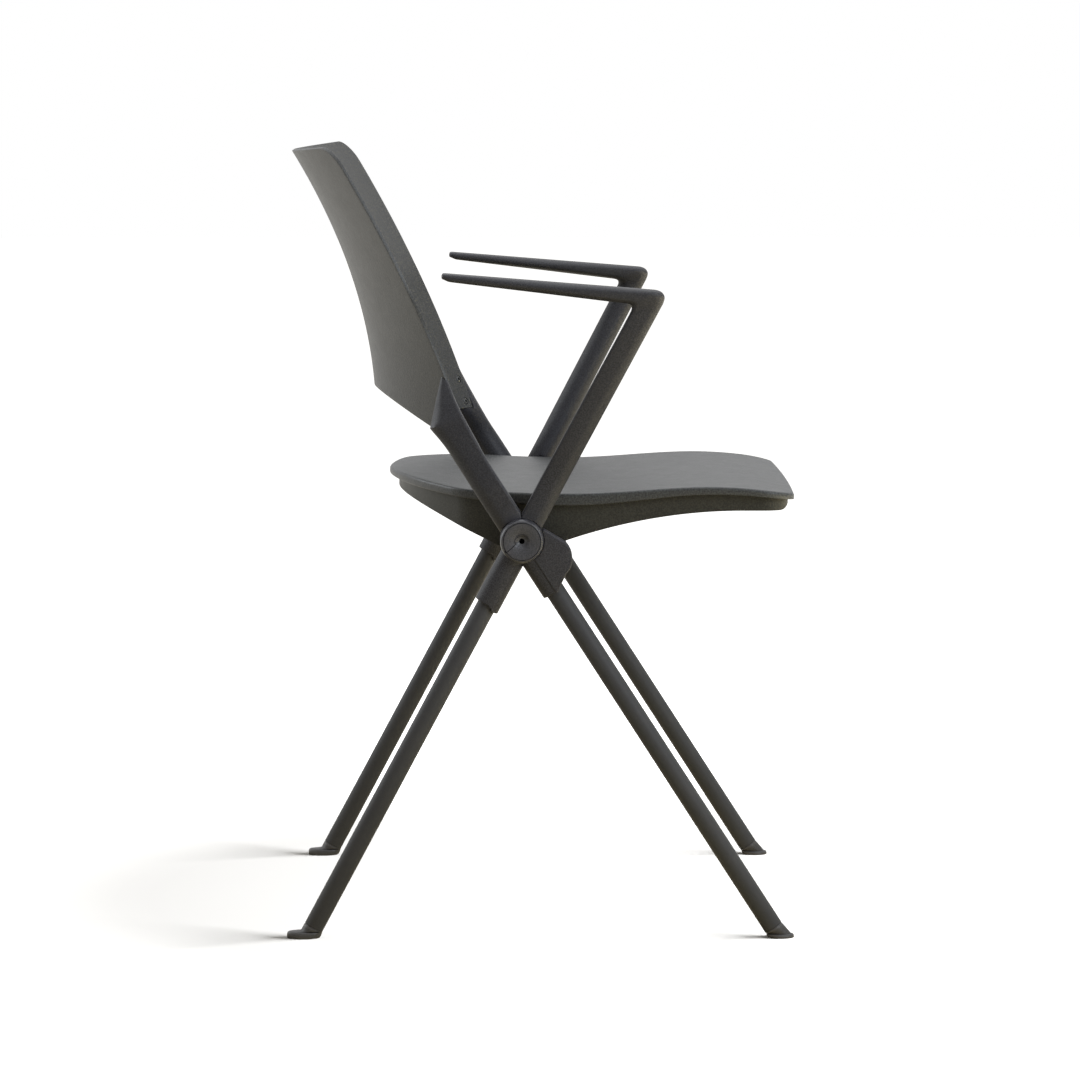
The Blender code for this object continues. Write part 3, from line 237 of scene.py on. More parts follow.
class HubSizes(bpy.types.PropertyGroup):
    """Hubs with their sockets, and the legs; distances run along the members from the hub axis."""
    barrel: length("Barrel", "Radius of the barrel and its cap", 0.0226)
    clear: length("Clearance", "Gap from the barrel to the members' ends", 0.0009)
    outer: length("Outer reach", "From the side frame's middle to the barrel's outer end", 0.012)
    inner: length("Inner reach", "From the side frame's middle to the barrel's inner end", 0.018)
    web_outer: length("Web outer", "Outer face of the web in the barrel", 0.0035)
    web_inner: length("Web inner", "Inner face of the web in the barrel", 0.002)
    bar_bore: length("Crossbar bore", "Radius of the bore for the crossbar", 0.0113)
    edge: length("Edge", "Rounding of the barrel and the tenons", 0.0008)
    rear_lean: turn("Rear leg lean", "From vertical", 28.15)
    front_lean: turn("Front leg lean", "From vertical", 32.8)
    tube: length("Tube", "Radius of the legs", (TUBE_HIGH.x - TUBE_LOW.x) / 2)
    tube_wall: length("Tube wall", "Wall of the legs", 0.0015)
    tube_edge: length("Tube edge", "Rounding of the ends of legs, crossbar and plugs", 0.0004)
    socket: length("Socket", "Radius of the leg sockets", 0.014)
    socket_floor: length("Socket floor", "Where the tubes start", 0.0245)
    rear_socket: length("Rear socket", "Length of the rear leg's socket", 0.076)
    front_socket: length("Front socket", "Length of the front leg's socket", 0.064)
    socket_lip: length("Socket lip", "How much longer the socket's front edge is", 0.0045)
    lip_start: share("Lip start", "Where the lip starts, as a share of the socket's radius", 0.25)
    lip_run: share("Lip run", "Over which the lip grows, as a share of the socket's radius", 0.3)
    socket_edge: length("Socket edge", "Rounding of the sockets' ends", 0.0011)
    socket_slant: length("Socket slant", "How much shorter the front socket is under the bracket", 0.0075)
    tenon: length("Tenon", "Width of the tenons in post and upright", 0.012)
    tenon_end: length("Tenon end", "Where the tenons end", 0.060)
    member_edge: length("Member edge", "Rounding of the ends of post and upright", 0.0006)
    screw_along: length("Screw place", "Of the screws in post and upright", 0.048)
    lug_along: length("Lug place", "Along the front leg", 0.019)
    lug_side: length("Lug side", "From the front leg to the lug's screw", 0.0215)
    lug_width: length("Lug width", "Of the lug that the bracket is screwed to", 0.014)
    lug: length("Lug", "Thickness of the lug", 0.006)
    lug_edge: length("Lug edge", "Rounding of the lug", 0.0012)


class CapSizes(bpy.types.PropertyGroup):
    """Hub caps; heights are from the barrel's end."""
    height: length("Height", "Of the cap", 0.0122)
    shoulder: length("Shoulder", "Height of the round shoulder", 0.0065)
    face: length("Face", "Radius of the face", 0.0197)
    line: length("Ring line", "Width and depth of the lines in the face", 0.0009)
    dish: length("Dish", "How far the face dishes toward its middle", 0.0024)
    recess: length("Recess", "Radius of the middle recess", 0.0074)
    recess_depth: length("Recess depth", "Of the middle recess", 0.0032)
    recess_wall: spot("Recess wall", "Its width, and its foot's height over the floor", (0.0016, 0.0014))
    hole: length("Hole", "Radius of the hole", 0.0029)
    hole_edge: spot("Hole edge", "Width and height of the bevel round the hole", (0.0008, 0.0003))
    groove_turn: turn("Groove turn", "How far the groove runs round the recess", 205)
    groove_tail: spot("Groove tail", "From the round part to the tail's end", (-0.0095, -0.0085))
    groove_hook: spot("Groove hook", "From there to the groove's end", (-0.0012, 0.0022))
    wall: length("Wall", "Under the face", 0.0090)
    skirt: length("Skirt", "Radius of the skirt inside the barrel", 0.0162)
    skirt_wall: length("Skirt wall", "Of the skirt", 0.0027)
    skirt_depth: length("Skirt depth", "Of the skirt", 0.0055)


class FootSizes(bpy.types.PropertyGroup):
    """Foot glides."""
    height: length("Height", "Along the leg, from the floor to the tube's end", 0.013)
    rear_sole: length("Rear sole", "Height of the rear feet's toe", 0.0072)
    front_sole: length("Front sole", "Height of the front feet's toe", 0.0042)
    half_width: length("Half width", "Across the sole", 0.0112)
    heel: length("Heel", "From the leg's line to the heel", 0.0125)
    rear_toe: length("Rear toe", "Of the rear feet", 0.0220)
    front_toe: length("Front toe", "Of the front feet", 0.0150)
    edge: length("Edge", "Rounding under the sole", 0.0008)
    instep: length("Instep", "From the rear toe up to the round part", 0.0006)
    collar: length("Collar", "Height of the bevel under the tube's end", 0.0012)
    collar_edge: length("Collar edge", "Width of that bevel", 0.0004)
    plug: length("Plug", "Length of the plug in the tube", 0.026)


class StopSizes(bpy.types.PropertyGroup):
    """Stop brackets on the front sockets, and the buffers that the pan rests on."""
    outer: length("Outer reach", "From the side frame's middle", 0.0155)
    inner: length("Inner reach", "From the side frame's middle", 0.006)
    start: length("Start", "Along the leg", 0.012)
    top_along: length("Top place", "Of the upper corner, along the leg", 0.002)
    top_side: length("Top side", "Of the upper corner, from the leg", 0.025)
    nose_along: length("Nose place", "Of the nose's centre, along the leg", 0.0315)
    nose_side: length("Nose side", "Of the nose's centre, from the leg", 0.0145)
    nose: length("Nose", "Radius of the nose", 0.0229)
    nose_start: turn("Nose start", "Where the nose's arc starts", 107)
    nose_end: turn("Nose end", "Where the nose's arc ends", 13)
    heel: length("Heel", "How far the plate runs past the socket", 0.002)
    edge: length("Edge", "Rounding of the plate", 0.0016)
    reach: length("Stop reach", "From the hub axis to the buffer's middle", 0.040)
    ledge_length: length("Ledge length", "Under the buffer", 0.014)
    ledge_height: length("Ledge height", "Under the buffer", 0.006)
    ledge_edge: length("Ledge edge", "Rounding of the ledge", 0.001)
    pad_width: length("Pad width", "Of the buffer across the chair", 0.014)
    pad_length: length("Pad length", "Of the buffer", 0.012)
    pad_height: length("Pad height", "Of the buffer", 0.005)
    pad_edge: length("Pad edge", "Rounding of the buffer", 0.0012)


class PivotSizes(bpy.types.PropertyGroup):
    """Crossbar with its plugs, and the bushes that turn on it."""
    bush_wall: length("Bush wall", "Wall of the bushes", 0.0032)
    bush_edge: length("Bush edge", "Rounding of the bushes", 0.0005)
    bar_wall: length("Crossbar wall", "Wall of the crossbar", 0.002)
    plug_floor: length("Plug floor", "Under the thread in the plugs", 0.004)


class ScrewSizes(bpy.types.PropertyGroup):
    """Socket screws, and the bolts that hold the crossbar."""
    head: length("Head", "Radius of the heads", 0.0038)
    head_height: length("Head height", "Of the heads", 0.0028)
    shank: length("Shank", "Radius of the shanks", 0.0020)
    key: length("Key", "Radius of the hexagon socket", 0.0016)
    bolt_head: length("Bolt head", "Radius of the bolts' heads", 0.0065)
    bolt_head_height: length("Bolt head height", "Of the bolts' heads", 0.0065)
    bolt_shank: length("Bolt shank", "Radius of the bolts' shanks", 0.0040)
    bolt_key: length("Bolt key", "Radius of the bolts' hexagon socket", 0.0030)
    back_inset: length("Back screw inset", "From the back's edge", 0.0065)
    back_sink: length("Back screw sink", "Of the heads in the back shell", 0.0024)
    upper_height: length("Upper height", "Of the upper back screws", -0.008)
    lower_height: length("Lower height", "Of the lower back screws", -0.033)
    reach: length("Reach", "Of the back screws past the shell", 0.010)


class FinishColours(bpy.types.PropertyGroup):
    """Colours of the finishes."""
    seat: colour("Seat", "Moulded seat", (0.036, 0.037, 0.037))
    # The seat's plastic painted darker and more olive, as painted shade under the seat
    pan: colour("Pan", "Moulded pan under the seat", (0.027, 0.0265, 0.023))
    back: colour("Back", "Moulded back shell", (0.0315, 0.0320, 0.0318))
    bars: colour("Frame plastic", "Posts and arms", (0.0252, 0.0248, 0.0282))
    hub: colour("Hub plastic", "Hubs and stop brackets", (0.0315, 0.0308, 0.0352))
    # Painted lighter and bluer than the hub plastic, as a painted sheen on the caps' round shoulders
    cap: colour("Caps", "Hub caps", (0.036, 0.0355, 0.041))
    tube: colour("Powder coat", "Legs and crossbar", (0.0440, 0.0437, 0.0465))
    bush: colour("Bushes and feet", "Turned bushes and foot glides", (0.050, 0.047, 0.046))
    rubber: colour("Rubber", "Stop buffers", (0.014, 0.014, 0.014))
    zinc: colour("Zinc", "Screws and plugs, plated black", (0.030, 0.030, 0.032))
    floor: colour("Floor", "Stage floor", (0.54, 0.475, 0.30))
    shade: colour("Ambient shade", "Of the light from the room", (1.0, 0.93, 0.74))


class StageSizes(bpy.types.PropertyGroup):
    """Camera and lights."""
    distance: length("Distance", "From the chair's middle plane to the camera", 4.809)
    along: length("Along", "Camera's place along the chair, from the hub axis", 0.0109)
    camera_height: length("Height", "Of the camera", 0.8935)
    dip: turn("Dip", "How far the camera looks down", 5.9611)
    swing: turn("Swing", "How far the camera looks to the front", 0.3725)
    lens: FloatProperty(name="Lens", description="Focal length in millimetres", default=147.607)
    floor_size: length("Floor size", "Half the floor's edge", 20.0)
    ambient: share("Ambient", "Strength of the light from the room", 0.12)


GROUPS = {"seat": SeatSizes, "pan": PanSizes, "back": BackSizes, "post": PostSizes, "arm": ArmSizes,
          "hub": HubSizes, "cap": CapSizes, "foot": FootSizes, "stop": StopSizes, "pivot": PivotSizes,
          "screw": ScrewSizes, "finish": FinishColours, "stage": StageSizes}


def sizes(group):
    return getattr(bpy.context.scene, "armchair_" + group)


# Shader expressions
class Signal:
    """A socket of a node tree; arithmetic on it adds Math nodes."""

    def __init__(self, finish, socket):
        self.finish = finish
        self.socket = socket

    def math(self, operation, other, swapped=False):
        first, second = (other, self) if swapped else (self, other)
        return self.finish.node("ShaderNodeMath", {"operation": operation}, {0: first, 1: second})

    def __add__(self, other):
        return self.math("ADD", other)

    def __radd__(self, other):
        return self.math("ADD", other, True)

    def __sub__(self, other):
        return self.math("SUBTRACT", other)

    def __rsub__(self, other):
        return self.math("SUBTRACT", other, True)

    def __mul__(self, other):
        return self.math("MULTIPLY", other)

    def __rmul__(self, other):
        return self.math("MULTIPLY", other, True)


class Finish:
    """A node tree that is filled one node at a time."""

    def __init__(self, tree):
        self.tree = tree

    def put(self, socket, value):
        if isinstance(value, Signal):
            self.tree.links.new(value.socket, socket)
        else:
            socket.default_value = value

    def node(self, kind, settings=None, inputs=None, output=0):
        """Adds a node: its settings first, a ramp's stops among them, then its sockets."""
        made = self.tree.nodes.new(kind)
        for name, value in (settings or {}).items():
            if name == "stops":
                for element, (place, shade) in zip(made.color_ramp.elements, value):
                    element.position = place
                    element.color = (shade, shade, shade, 1)
            else:
                setattr(made, name, value)
        for name, value in (inputs or {}).items():
            self.put(made.inputs[name], value)
        return Signal(self, made.outputs[output])

    def mix(self, factor, first, second):
        """Blends two colours."""
        sockets = {0: factor, 6: first, 7: second}
        return self.node("ShaderNodeMix", {"data_type": "RGBA"}, sockets, 2)

    def noise(self, scale, detail=2.0, distortion=0.0):
        place = self.node("ShaderNodeTexCoord", output="Object")
        sockets = {"Vector": place, "Scale": scale, "Detail": detail, "Distortion": distortion}
        return self.node("ShaderNodeTexNoise", None, sockets, "Fac")

    def ramp(self, value, low, high):
        """Rises from 0 to 1 as the value goes from low to high."""
        return self.node("ShaderNodeValToRGB", {"stops": ((low, 0), (high, 1))}, {0: value}, "Color")

    def surface(self, shader, base, rough, strength, depth, relief):
        """Feeds a shader's colour and roughness, and its normal with a bump."""
        bump = self.node("ShaderNodeBump", None, {"Strength": strength, "Distance": depth, "Height": relief})
        for name, value in (("Base Color", base), ("Roughness", rough), ("Normal", bump)):
            self.put(shader.inputs[name], value)


def tinted(shade, factor):
    return (*(channel * factor for channel in shade), 1)


def new_material(name):
    material = bpy.data.materials.new(name)
    material.use_nodes = True
    return material, Finish(material.node_tree), material.node_tree.nodes["Principled BSDF"]


def moulded_plastic(name, shade, roughness, grain_size, grain_depth, gloss, edge_wear_and_highlight):
    """Spark-eroded plastic: fine grain, cloudy shade, and smoother edges painted lighter, partly as worn
    edges and partly as a painted edge highlight.
    """
    material, finish, shader = new_material(name)
    grain = finish.noise(1 / grain_size, 3.0)
    pores = finish.noise(0.4 / grain_size, 1.0)
    cloud = finish.noise(9.0, 4.0, 0.6)
    scuff = finish.noise(55.0, 5.0, 1.2)
    edge = finish.ramp(finish.node("ShaderNodeNewGeometry", output="Pointiness"), 0.51, 0.57)
    tone = finish.mix(cloud * 0.6 + scuff * 0.4, tinted(shade, 0.72), tinted(shade, 1.28))
    specks = finish.mix(finish.ramp(grain, 0.36, 0.66), tinted(shade, 0.45), tinted(shade, 1.75))
    # Convex edges are painted lighter: partly wear, partly a painted highlight standing in for the light that
    # catches them
    worn_and_highlit_edges = edge * (0.5 + scuff) * edge_wear_and_highlight
    base = finish.mix(worn_and_highlit_edges, finish.mix(0.75, tone, specks), tinted(shade, 2.6))
    rough = roughness + (grain - 0.5) * 0.16 + (scuff - 0.5) * 0.10 - edge * 0.08
    finish.surface(shader, base, rough, 0.7, grain_depth, grain * 0.6 + pores * 0.4)
    shader.inputs["Specular IOR Level"].default_value = gloss
    return material


def powder_coat(name, shade):
    """Powder coat on steel: a soft orange peel with fine specks."""
    material, finish, shader = new_material(name)
    peel = finish.noise(420.0, 1.5, 0.3)
    speck = finish.noise(2600.0, 2.0)
    cloud = finish.noise(14.0, 3.0)
    tone = finish.mix(cloud, tinted(shade, 0.78), tinted(shade, 1.22))
    base = finish.mix(finish.ramp(speck, 0.55, 0.75) * 0.5, tone, tinted(shade, 2.0))
    rough = 0.58 + (speck - 0.5) * 0.18 + (cloud - 0.5) * 0.06
    finish.surface(shader, base, rough, 0.4, 0.00012, peel * 0.7 + speck * 0.3)
    shader.inputs["Specular IOR Level"].default_value = 0.2
    return material


def zinc_plate(name, shade):
    """Zinc-plated steel with a faint cloudy passivation and fine turning marks."""
    material, finish, shader = new_material(name)
    cloud = finish.noise(380.0, 4.0, 0.8)
    marks = finish.noise(3200.0, 2.0)
    base = finish.mix(cloud, tinted(shade, 0.72), tinted(shade, 1.12))
    finish.surface(shader, base, 0.44 + cloud * 0.16 + (marks - 0.5) * 0.10, 0.25, 0.00004, marks)
    shader.inputs["Metallic"].default_value = 1.0
    return material


def buffer_rubber(name, shade):
    """Dull black rubber with a dusty bloom."""
    material, finish, shader = new_material(name)
    bloom = finish.noise(160.0, 5.0, 0.7)
    grain = finish.noise(2400.0, 2.0)
    base = finish.mix(finish.ramp(bloom, 0.4, 0.75), tinted(shade, 0.8), tinted(shade, 2.0))
    finish.surface(shader, base, 0.80 + (grain - 0.5) * 0.15, 0.4, 0.0001, grain)
    return material


# How each finish is made: name and colour, then for plastics roughness, grain size and depth, gloss, and how
# much the edges are lightened, as worn edges and as a painted edge highlight
MAKERS = {
    "seat_plastic": (moulded_plastic, "grained_seat_plastic", "seat", 0.44, 0.0018, 0.00060, 0.27, 0.1),
    # The pan's finish is the seat's plastic with painted shade: darker and more olive
    "pan_plastic": (moulded_plastic, "grained_pan_plastic", "pan", 0.55, 0.0014, 0.00026, 0.15, 0.2),
    "back_plastic": (moulded_plastic, "grained_back_plastic", "back", 0.46, 0.0016, 0.00040, 0.34, 0.8),
    "frame_plastic": (moulded_plastic, "satin_frame_plastic", "bars", 0.54, 0.0013, 0.00024, 0.2, 0.7),
    "hub_plastic": (moulded_plastic, "satin_hub_plastic", "hub", 0.54, 0.0013, 0.00024, 0.2, 0.0),
    # The caps' finish carries a painted sheen: its colour is lighter and bluer than the hub plastic
    "cap_plastic": (moulded_plastic, "smooth_cap_plastic", "cap", 0.42, 0.0013, 0.00012, 0.35, 0.25),
    "bush_plastic": (moulded_plastic, "smooth_bush_plastic", "bush", 0.45, 0.0006, 0.00006, 0.2, 0.5),
    "powder_coated_tube": (powder_coat, "black_powder_coat", "tube"),
    "buffer_rubber": (buffer_rubber, "dull_buffer_rubber", "rubber"),
    "zinc_steel": (zinc_plate, "black_zinc_plate", "zinc"),
}
FINISHES = {}


def finish_for(slot):
    if slot not in FINISHES:
        make, name, shade, *texture = MAKERS[slot]
        FINISHES[slot] = make(name, getattr(sizes("finish"), shade), *texture)
    return FINISHES[slot]


# Shaping
def smooth(part):
    """Goes from 0 to 1 as the part does, level at both ends."""
    part = min(max(part, 0), 1)
    return part ** 2 * (3 - 2 * part)


def grid(rows, columns, point):
    """A sheet of quads bent to a shape: point takes shares of its length and breadth."""
    bm = bmesh.new()
    bmesh.ops.create_grid(bm, x_segments=rows, y_segments=columns, size=0.5)
    for vert in bm.verts:
        vert.co = point(vert.co.x + 0.5, vert.co.y + 0.5)
    bm.normal_update()
    return bm


def close_up(bm):
    """Joins the seam of a rolled sheet, fills its ends and turns its faces outward."""
    bmesh.ops.remove_doubles(bm, verts=bm.verts, dist=MERGE)
    bmesh.ops.holes_fill(bm, edges=[edge for edge in bm.edges if edge.is_boundary])
    bmesh.ops.recalc_face_normals(bm, faces=bm.faces)
    return bm


def face_toward(bm, direction):
    """Gives an open sheet one facing, toward the given direction."""
    bmesh.ops.recalc_face_normals(bm, faces=bm.faces)
    total = sum((face.normal * face.calc_area() for face in bm.faces), Vector())
    if total.dot(Vector(direction)) < 0:
        bmesh.ops.reverse_faces(bm, faces=bm.faces)


def round_edges(bm, width, steps=2, limit=SHARP, only=None):
    """Rounds the edges that are sharper than the limit, or those of them whose ends pass a test."""
    sharp = [edge for edge in bm.edges if edge.is_manifold and edge.calc_face_angle() > limit]
    if only:
        sharp = [edge for edge in sharp if all(only(vert.co) for vert in edge.verts)]
    bmesh.ops.bevel(bm, geom=sharp, offset=width, offset_type="OFFSET", segments=steps, profile=0.5,
                    affect="EDGES", clamp_overlap=True, material=-1)
    return bm


def along(direction, start=(0, 0, 0)):
    """Turns local Z to a direction and moves the origin to the start."""
    return Matrix.Translation(start) @ Vector(direction).to_track_quat("Z", "X").to_matrix().to_4x4()


def turned(profile, matrix, closed=False, steps=ROUND_STEPS):
    """Turns a profile of (radius, height) points about local Z into a solid."""
    bm = bmesh.new()
    points = [bm.verts.new((radius, 0, height)) for radius, height in profile]
    edges = [bm.edges.new(pair) for pair in zip(points, points[1:])]
    if closed:
        edges.append(bm.edges.new((points[-1], points[0])))
    bmesh.ops.spin(bm, geom=points + edges, cent=(0, 0, 0), axis=(0, 0, 1), angle=2 * math.pi,
                   steps=steps, use_merge=True)
    bmesh.ops.remove_doubles(bm, verts=bm.verts, dist=MERGE)
    bmesh.ops.recalc_face_normals(bm, faces=bm.faces)
    bmesh.ops.transform(bm, matrix=matrix, verts=bm.verts)
    return bm


def rod(radius, start, end, steps=ROUND_STEPS):
    start, end = Vector(start), Vector(end)
    reach = (end - start).length
    return turned([(0, reach), (radius, reach), (radius, 0), (0, 0)], along(end - start, start), steps=steps)


def block(size, matrix):
    bm = bmesh.new()
    bmesh.ops.create_cube(bm, size=1, matrix=matrix @ Matrix.Diagonal((*size, 1)))
    return bm


class Outline:
    """Draws an outline in the XY plane, one line or arc after another."""

    def __init__(self, bm, start):
        self.bm = bm
        self.tip = bm.verts.new((*start, 0))

    def line(self, end, steps=1):
        start = self.tip.co.copy()
        for step in range(1, steps + 1):
            self.tip = bmesh.ops.extrude_vert_indiv(self.bm, verts=[self.tip])["verts"][0]
            self.tip.co = start.lerp(Vector((*end, 0)), step / steps)

    def arc(self, centre, angle, steps):
        made = bmesh.ops.spin(self.bm, geom=[self.tip], cent=(*centre, 0), axis=(0, 0, 1), angle=angle,
                              steps=steps, use_duplicate=False)
        self.tip = made["geom_last"][0]


def verts_of(geometry):
    return [item for item in geometry if isinstance(item, bmesh.types.BMVert)]


def extruded_ring(bm, edges):
    """Extrudes a ring of edges; returns the new ring's vertices and edges."""
    made = bmesh.ops.extrude_edge_only(bm, edges=edges)["geom"]
    verts = verts_of(made)
    fresh = set(verts)
    ring = [item for item in made if isinstance(item, bmesh.types.BMEdge) and fresh.issuperset(item.verts)]
    return verts, ring


def rings_inward(bm, edges, centre, shares):
    """Fills an outline with smaller and smaller rings about a centre."""
    last = 1.0
    for portion in shares:
        verts, edges = extruded_ring(bm, edges)
        factor = portion / last
        bmesh.ops.scale(bm, vec=(factor, factor, 1), space=Matrix.Translation(-centre), verts=verts)
        last = portion
    middle = bmesh.ops.contextual_create(bm, geom=edges)["faces"]
    bmesh.ops.poke(bm, faces=middle)


def new_object(name, bm):
    mesh = bpy.data.meshes.new(name)
    bm.to_mesh(mesh)
    bm.free()
    obj = bpy.data.objects.new(name, mesh)
    bpy.context.scene.collection.objects.link(obj)
    return obj


def apply_modifiers(obj):
    graph = bpy.context.evaluated_depsgraph_get()
    mesh = bpy.data.meshes.new_from_object(obj.evaluated_get(graph))
    obj.modifiers.clear()
    rough = obj.data
    obj.data = mesh
    bpy.data.meshes.remove(rough)


def thicken(obj, thickness, offset=-1.0):
    skin = obj.modifiers.new("skin", "SOLIDIFY")
    skin.thickness = thickness
    skin.offset = offset
    skin.use_even_offset = True
    apply_modifiers(obj)


def discard(obj):
    mesh = obj.data
    bpy.data.objects.remove(obj)
    bpy.data.meshes.remove(mesh)


def thick_tool(sheet, thickness, offset=-1.0):
    """Makes a solid to cut with out of an open sheet."""
    obj = new_object("tool", sheet)
    thicken(obj, thickness, offset)
    bm = bmesh.new()
    bm.from_mesh(obj.data)
    discard(obj)
    return bm


def carve(obj, *tools, operation="DIFFERENCE"):
    """Cuts solids out of a piece, or joins them on."""
    for tool in tools:
        cutter = new_object("cutter", tool)
        modifier = obj.modifiers.new("carve", "BOOLEAN")
        modifier.operation = operation
        modifier.solver = "EXACT"
        modifier.object = cutter
        apply_modifiers(obj)
        discard(cutter)


def soften(obj, width, steps=2, limit=SHARP, only=None):
    """Rounds the sharp edges of a piece that is already a mesh."""
    bm = bmesh.new()
    bm.from_mesh(obj.data)
    bmesh.ops.remove_doubles(bm, verts=bm.verts, dist=MERGE)
    round_edges(bm, width, steps, limit, only)
    bm.to_mesh(obj.data)
    bm.free()


def set_piece(obj, body, slot, *nodes, finish=None):
    """Sets a piece at its place on the frame, with its finish, in the stead of the frame's nodes."""
    mesh = obj.data
    mesh.transform(Matrix.Translation(AXIS))
    mesh.shade_smooth()
    mesh.set_sharp_from_angle(angle=SHARP)
    mesh.materials.clear()
    mesh.materials.append(finish_for(finish or slot))
    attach(obj, body)
    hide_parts(*nodes)


def set_pair(obj, body, slot, node, finish=None):
    """Sets the left piece and its mirror image."""
    name = obj.name
    twin = bpy.data.objects.new(name + "_right", obj.data.copy())
    bpy.context.scene.collection.objects.link(twin)
    twin.data.transform(Matrix.Scale(-1, 4, (1, 0, 0)))
    twin.data.flip_normals()
    obj.name = name + "_left"
    set_piece(obj, body, slot, node + "_left", finish=finish)
    set_piece(twin, body, slot, node + "_right", finish=finish)


# Seat

# Shares of the outline at which rings of faces fill the seat's top and the pan's floor
SEAT_RINGS = (0.97, 0.93, 0.88, 0.81, 0.73, 0.64, 0.54, 0.43, 0.32, 0.20, 0.08)
PAN_RINGS = (0.992, 0.984, 0.976, 0.968, 0.955, 0.935, 0.90, 0.85, 0.78, 0.70, 0.62, 0.53, 0.44, 0.35, 0.26,
             0.17, 0.08)
# Steps along the outline: round ends, rear corners, sides, front corners
END_STEPS, REAR_STEPS, SIDE_STEPS, FRONT_STEPS = 18, 14, 36, 16
# Lines across the pan's floor that follow the rounded keel, counted from the hub axis
KEEL_LINES = range(-4, 5)


def seat_height(seat, y):
    """Height of the seat's top along the middle: a hollow over the hubs, a crest, a falling front edge."""
    if y > -seat.low_reach:
        part = (y + seat.low_reach) / (seat.rear + seat.low_reach)
        return seat.low_rise + (seat.rear_rise - seat.low_rise) * part ** 2
    if y > -seat.crest_reach:
        part = (y + seat.low_reach) / (seat.low_reach - seat.crest_reach)
        return seat.low_rise + (seat.crest_rise - seat.low_rise) * smooth(part)
    part = (y + seat.crest_reach) / (seat.crest_reach - seat.front)
    return seat.crest_rise + (seat.front_rise - seat.crest_rise) * part ** 2


def seat_outline(bm, seat, inset):
    """Round rear, straight sides and bowed front, set in from the seat's edge; returns its edges."""
    half = seat.width / 2 - inset
    rear, front = seat.rear_radius - inset, seat.front_radius - inset
    rear_corner, front_corner = seat.rear_corner - inset, seat.front_corner - inset
    rear_y, front_y = seat.rear - seat.rear_radius, seat.front_radius - seat.front
    rear_side, front_side = half - rear_corner, half - front_corner
    rear_centre = rear_y + math.sqrt((rear - rear_corner) ** 2 - rear_side ** 2)
    front_centre = front_y - math.sqrt((front - front_corner) ** 2 - front_side ** 2)
    rear_turn = math.atan2(rear_centre - rear_y, rear_side)
    front_turn = math.atan2(front_centre - front_y, front_side)
    outline = Outline(bm, (0, rear_y + rear))
    outline.arc((0, rear_y), rear_turn - QUARTER, END_STEPS)
    outline.arc((rear_side, rear_centre), -rear_turn, REAR_STEPS)
    outline.line((half, front_centre), SIDE_STEPS)
    outline.arc((front_side, front_centre), front_turn, FRONT_STEPS)
    outline.arc((0, front_y), -QUARTER - front_turn, END_STEPS)
    bmesh.ops.mirror(bm, geom=bm.verts[:] + bm.edges[:], merge_dist=MERGE, axis="X")
    bmesh.ops.remove_doubles(bm, verts=bm.verts, dist=MERGE)
    return bm.edges[:]


def seat_middle(seat):
    return Vector((0, (seat.rear - seat.front) / 2, 0))


def seat_shell():
    seat = sizes("seat")
    bm = bmesh.new()
    rim = seat_outline(bm, seat, 0)
    verts, _ = extruded_ring(bm, rim)
    bmesh.ops.translate(bm, vec=(0, 0, -seat.rim_depth), verts=verts)
    rings_inward(bm, rim, seat_middle(seat), SEAT_RINGS)
    face_toward(bm, (0, 0, 1))
    obj = new_object("seat_moulding", bm)
    thicken(obj, seat.skin)
    soften(obj, seat.rim_radius, 6, only=lambda place: place.z > -seat.skin / 2)
    soften(obj, seat.lip, 3, only=lambda place: place.z < -seat.skin / 2)
    for vert in obj.data.vertices:
        past = max(0, vert.co.y - seat.rear + seat.roll) / seat.roll
        lower = -vert.co.z / seat.rim_depth
        sag = max(0, 1 - ((vert.co.y + seat.sag_reach) / seat.sag_run) ** 2) ** 2
        ahead = min(max(0, -vert.co.y - seat.lift_reach) / (seat.front - seat.lift_reach), 1)
        fall = seat.roll_drop * past ** 2 * (1 - lower)
        fall += (seat.rim_sag * sag - seat.rim_lift * ahead) * lower ** 3
        vert.co.z += seat_height(seat, vert.co.y) - fall
    set_piece(obj, "seat", "seat_plastic", "seat_shell")


def pan_floor(seat, pan, y, x=0.0):
    """Height of the pan's underside: a keel under the hub axis, a rising rear, a level front with a nose."""
    rising = pan.rear_slope * y - pan.rear_bow * (y / seat.rear) ** 2 - pan.keel
    part = max(0, (pan.flat_reach + y) / pan.flat_reach)
    level = pan.flat_rise - (pan.flat_rise + pan.keel) * part ** 2
    height = (rising + level + math.hypot(rising - level, pan.keel_round)) / 2
    front = seat.front - pan.front_inset - x ** 2 / (2 * seat.front_radius)
    past = min(max(0, pan.nose - front - y), pan.nose)
    return height + pan.nose - math.sqrt(pan.nose ** 2 - past ** 2)


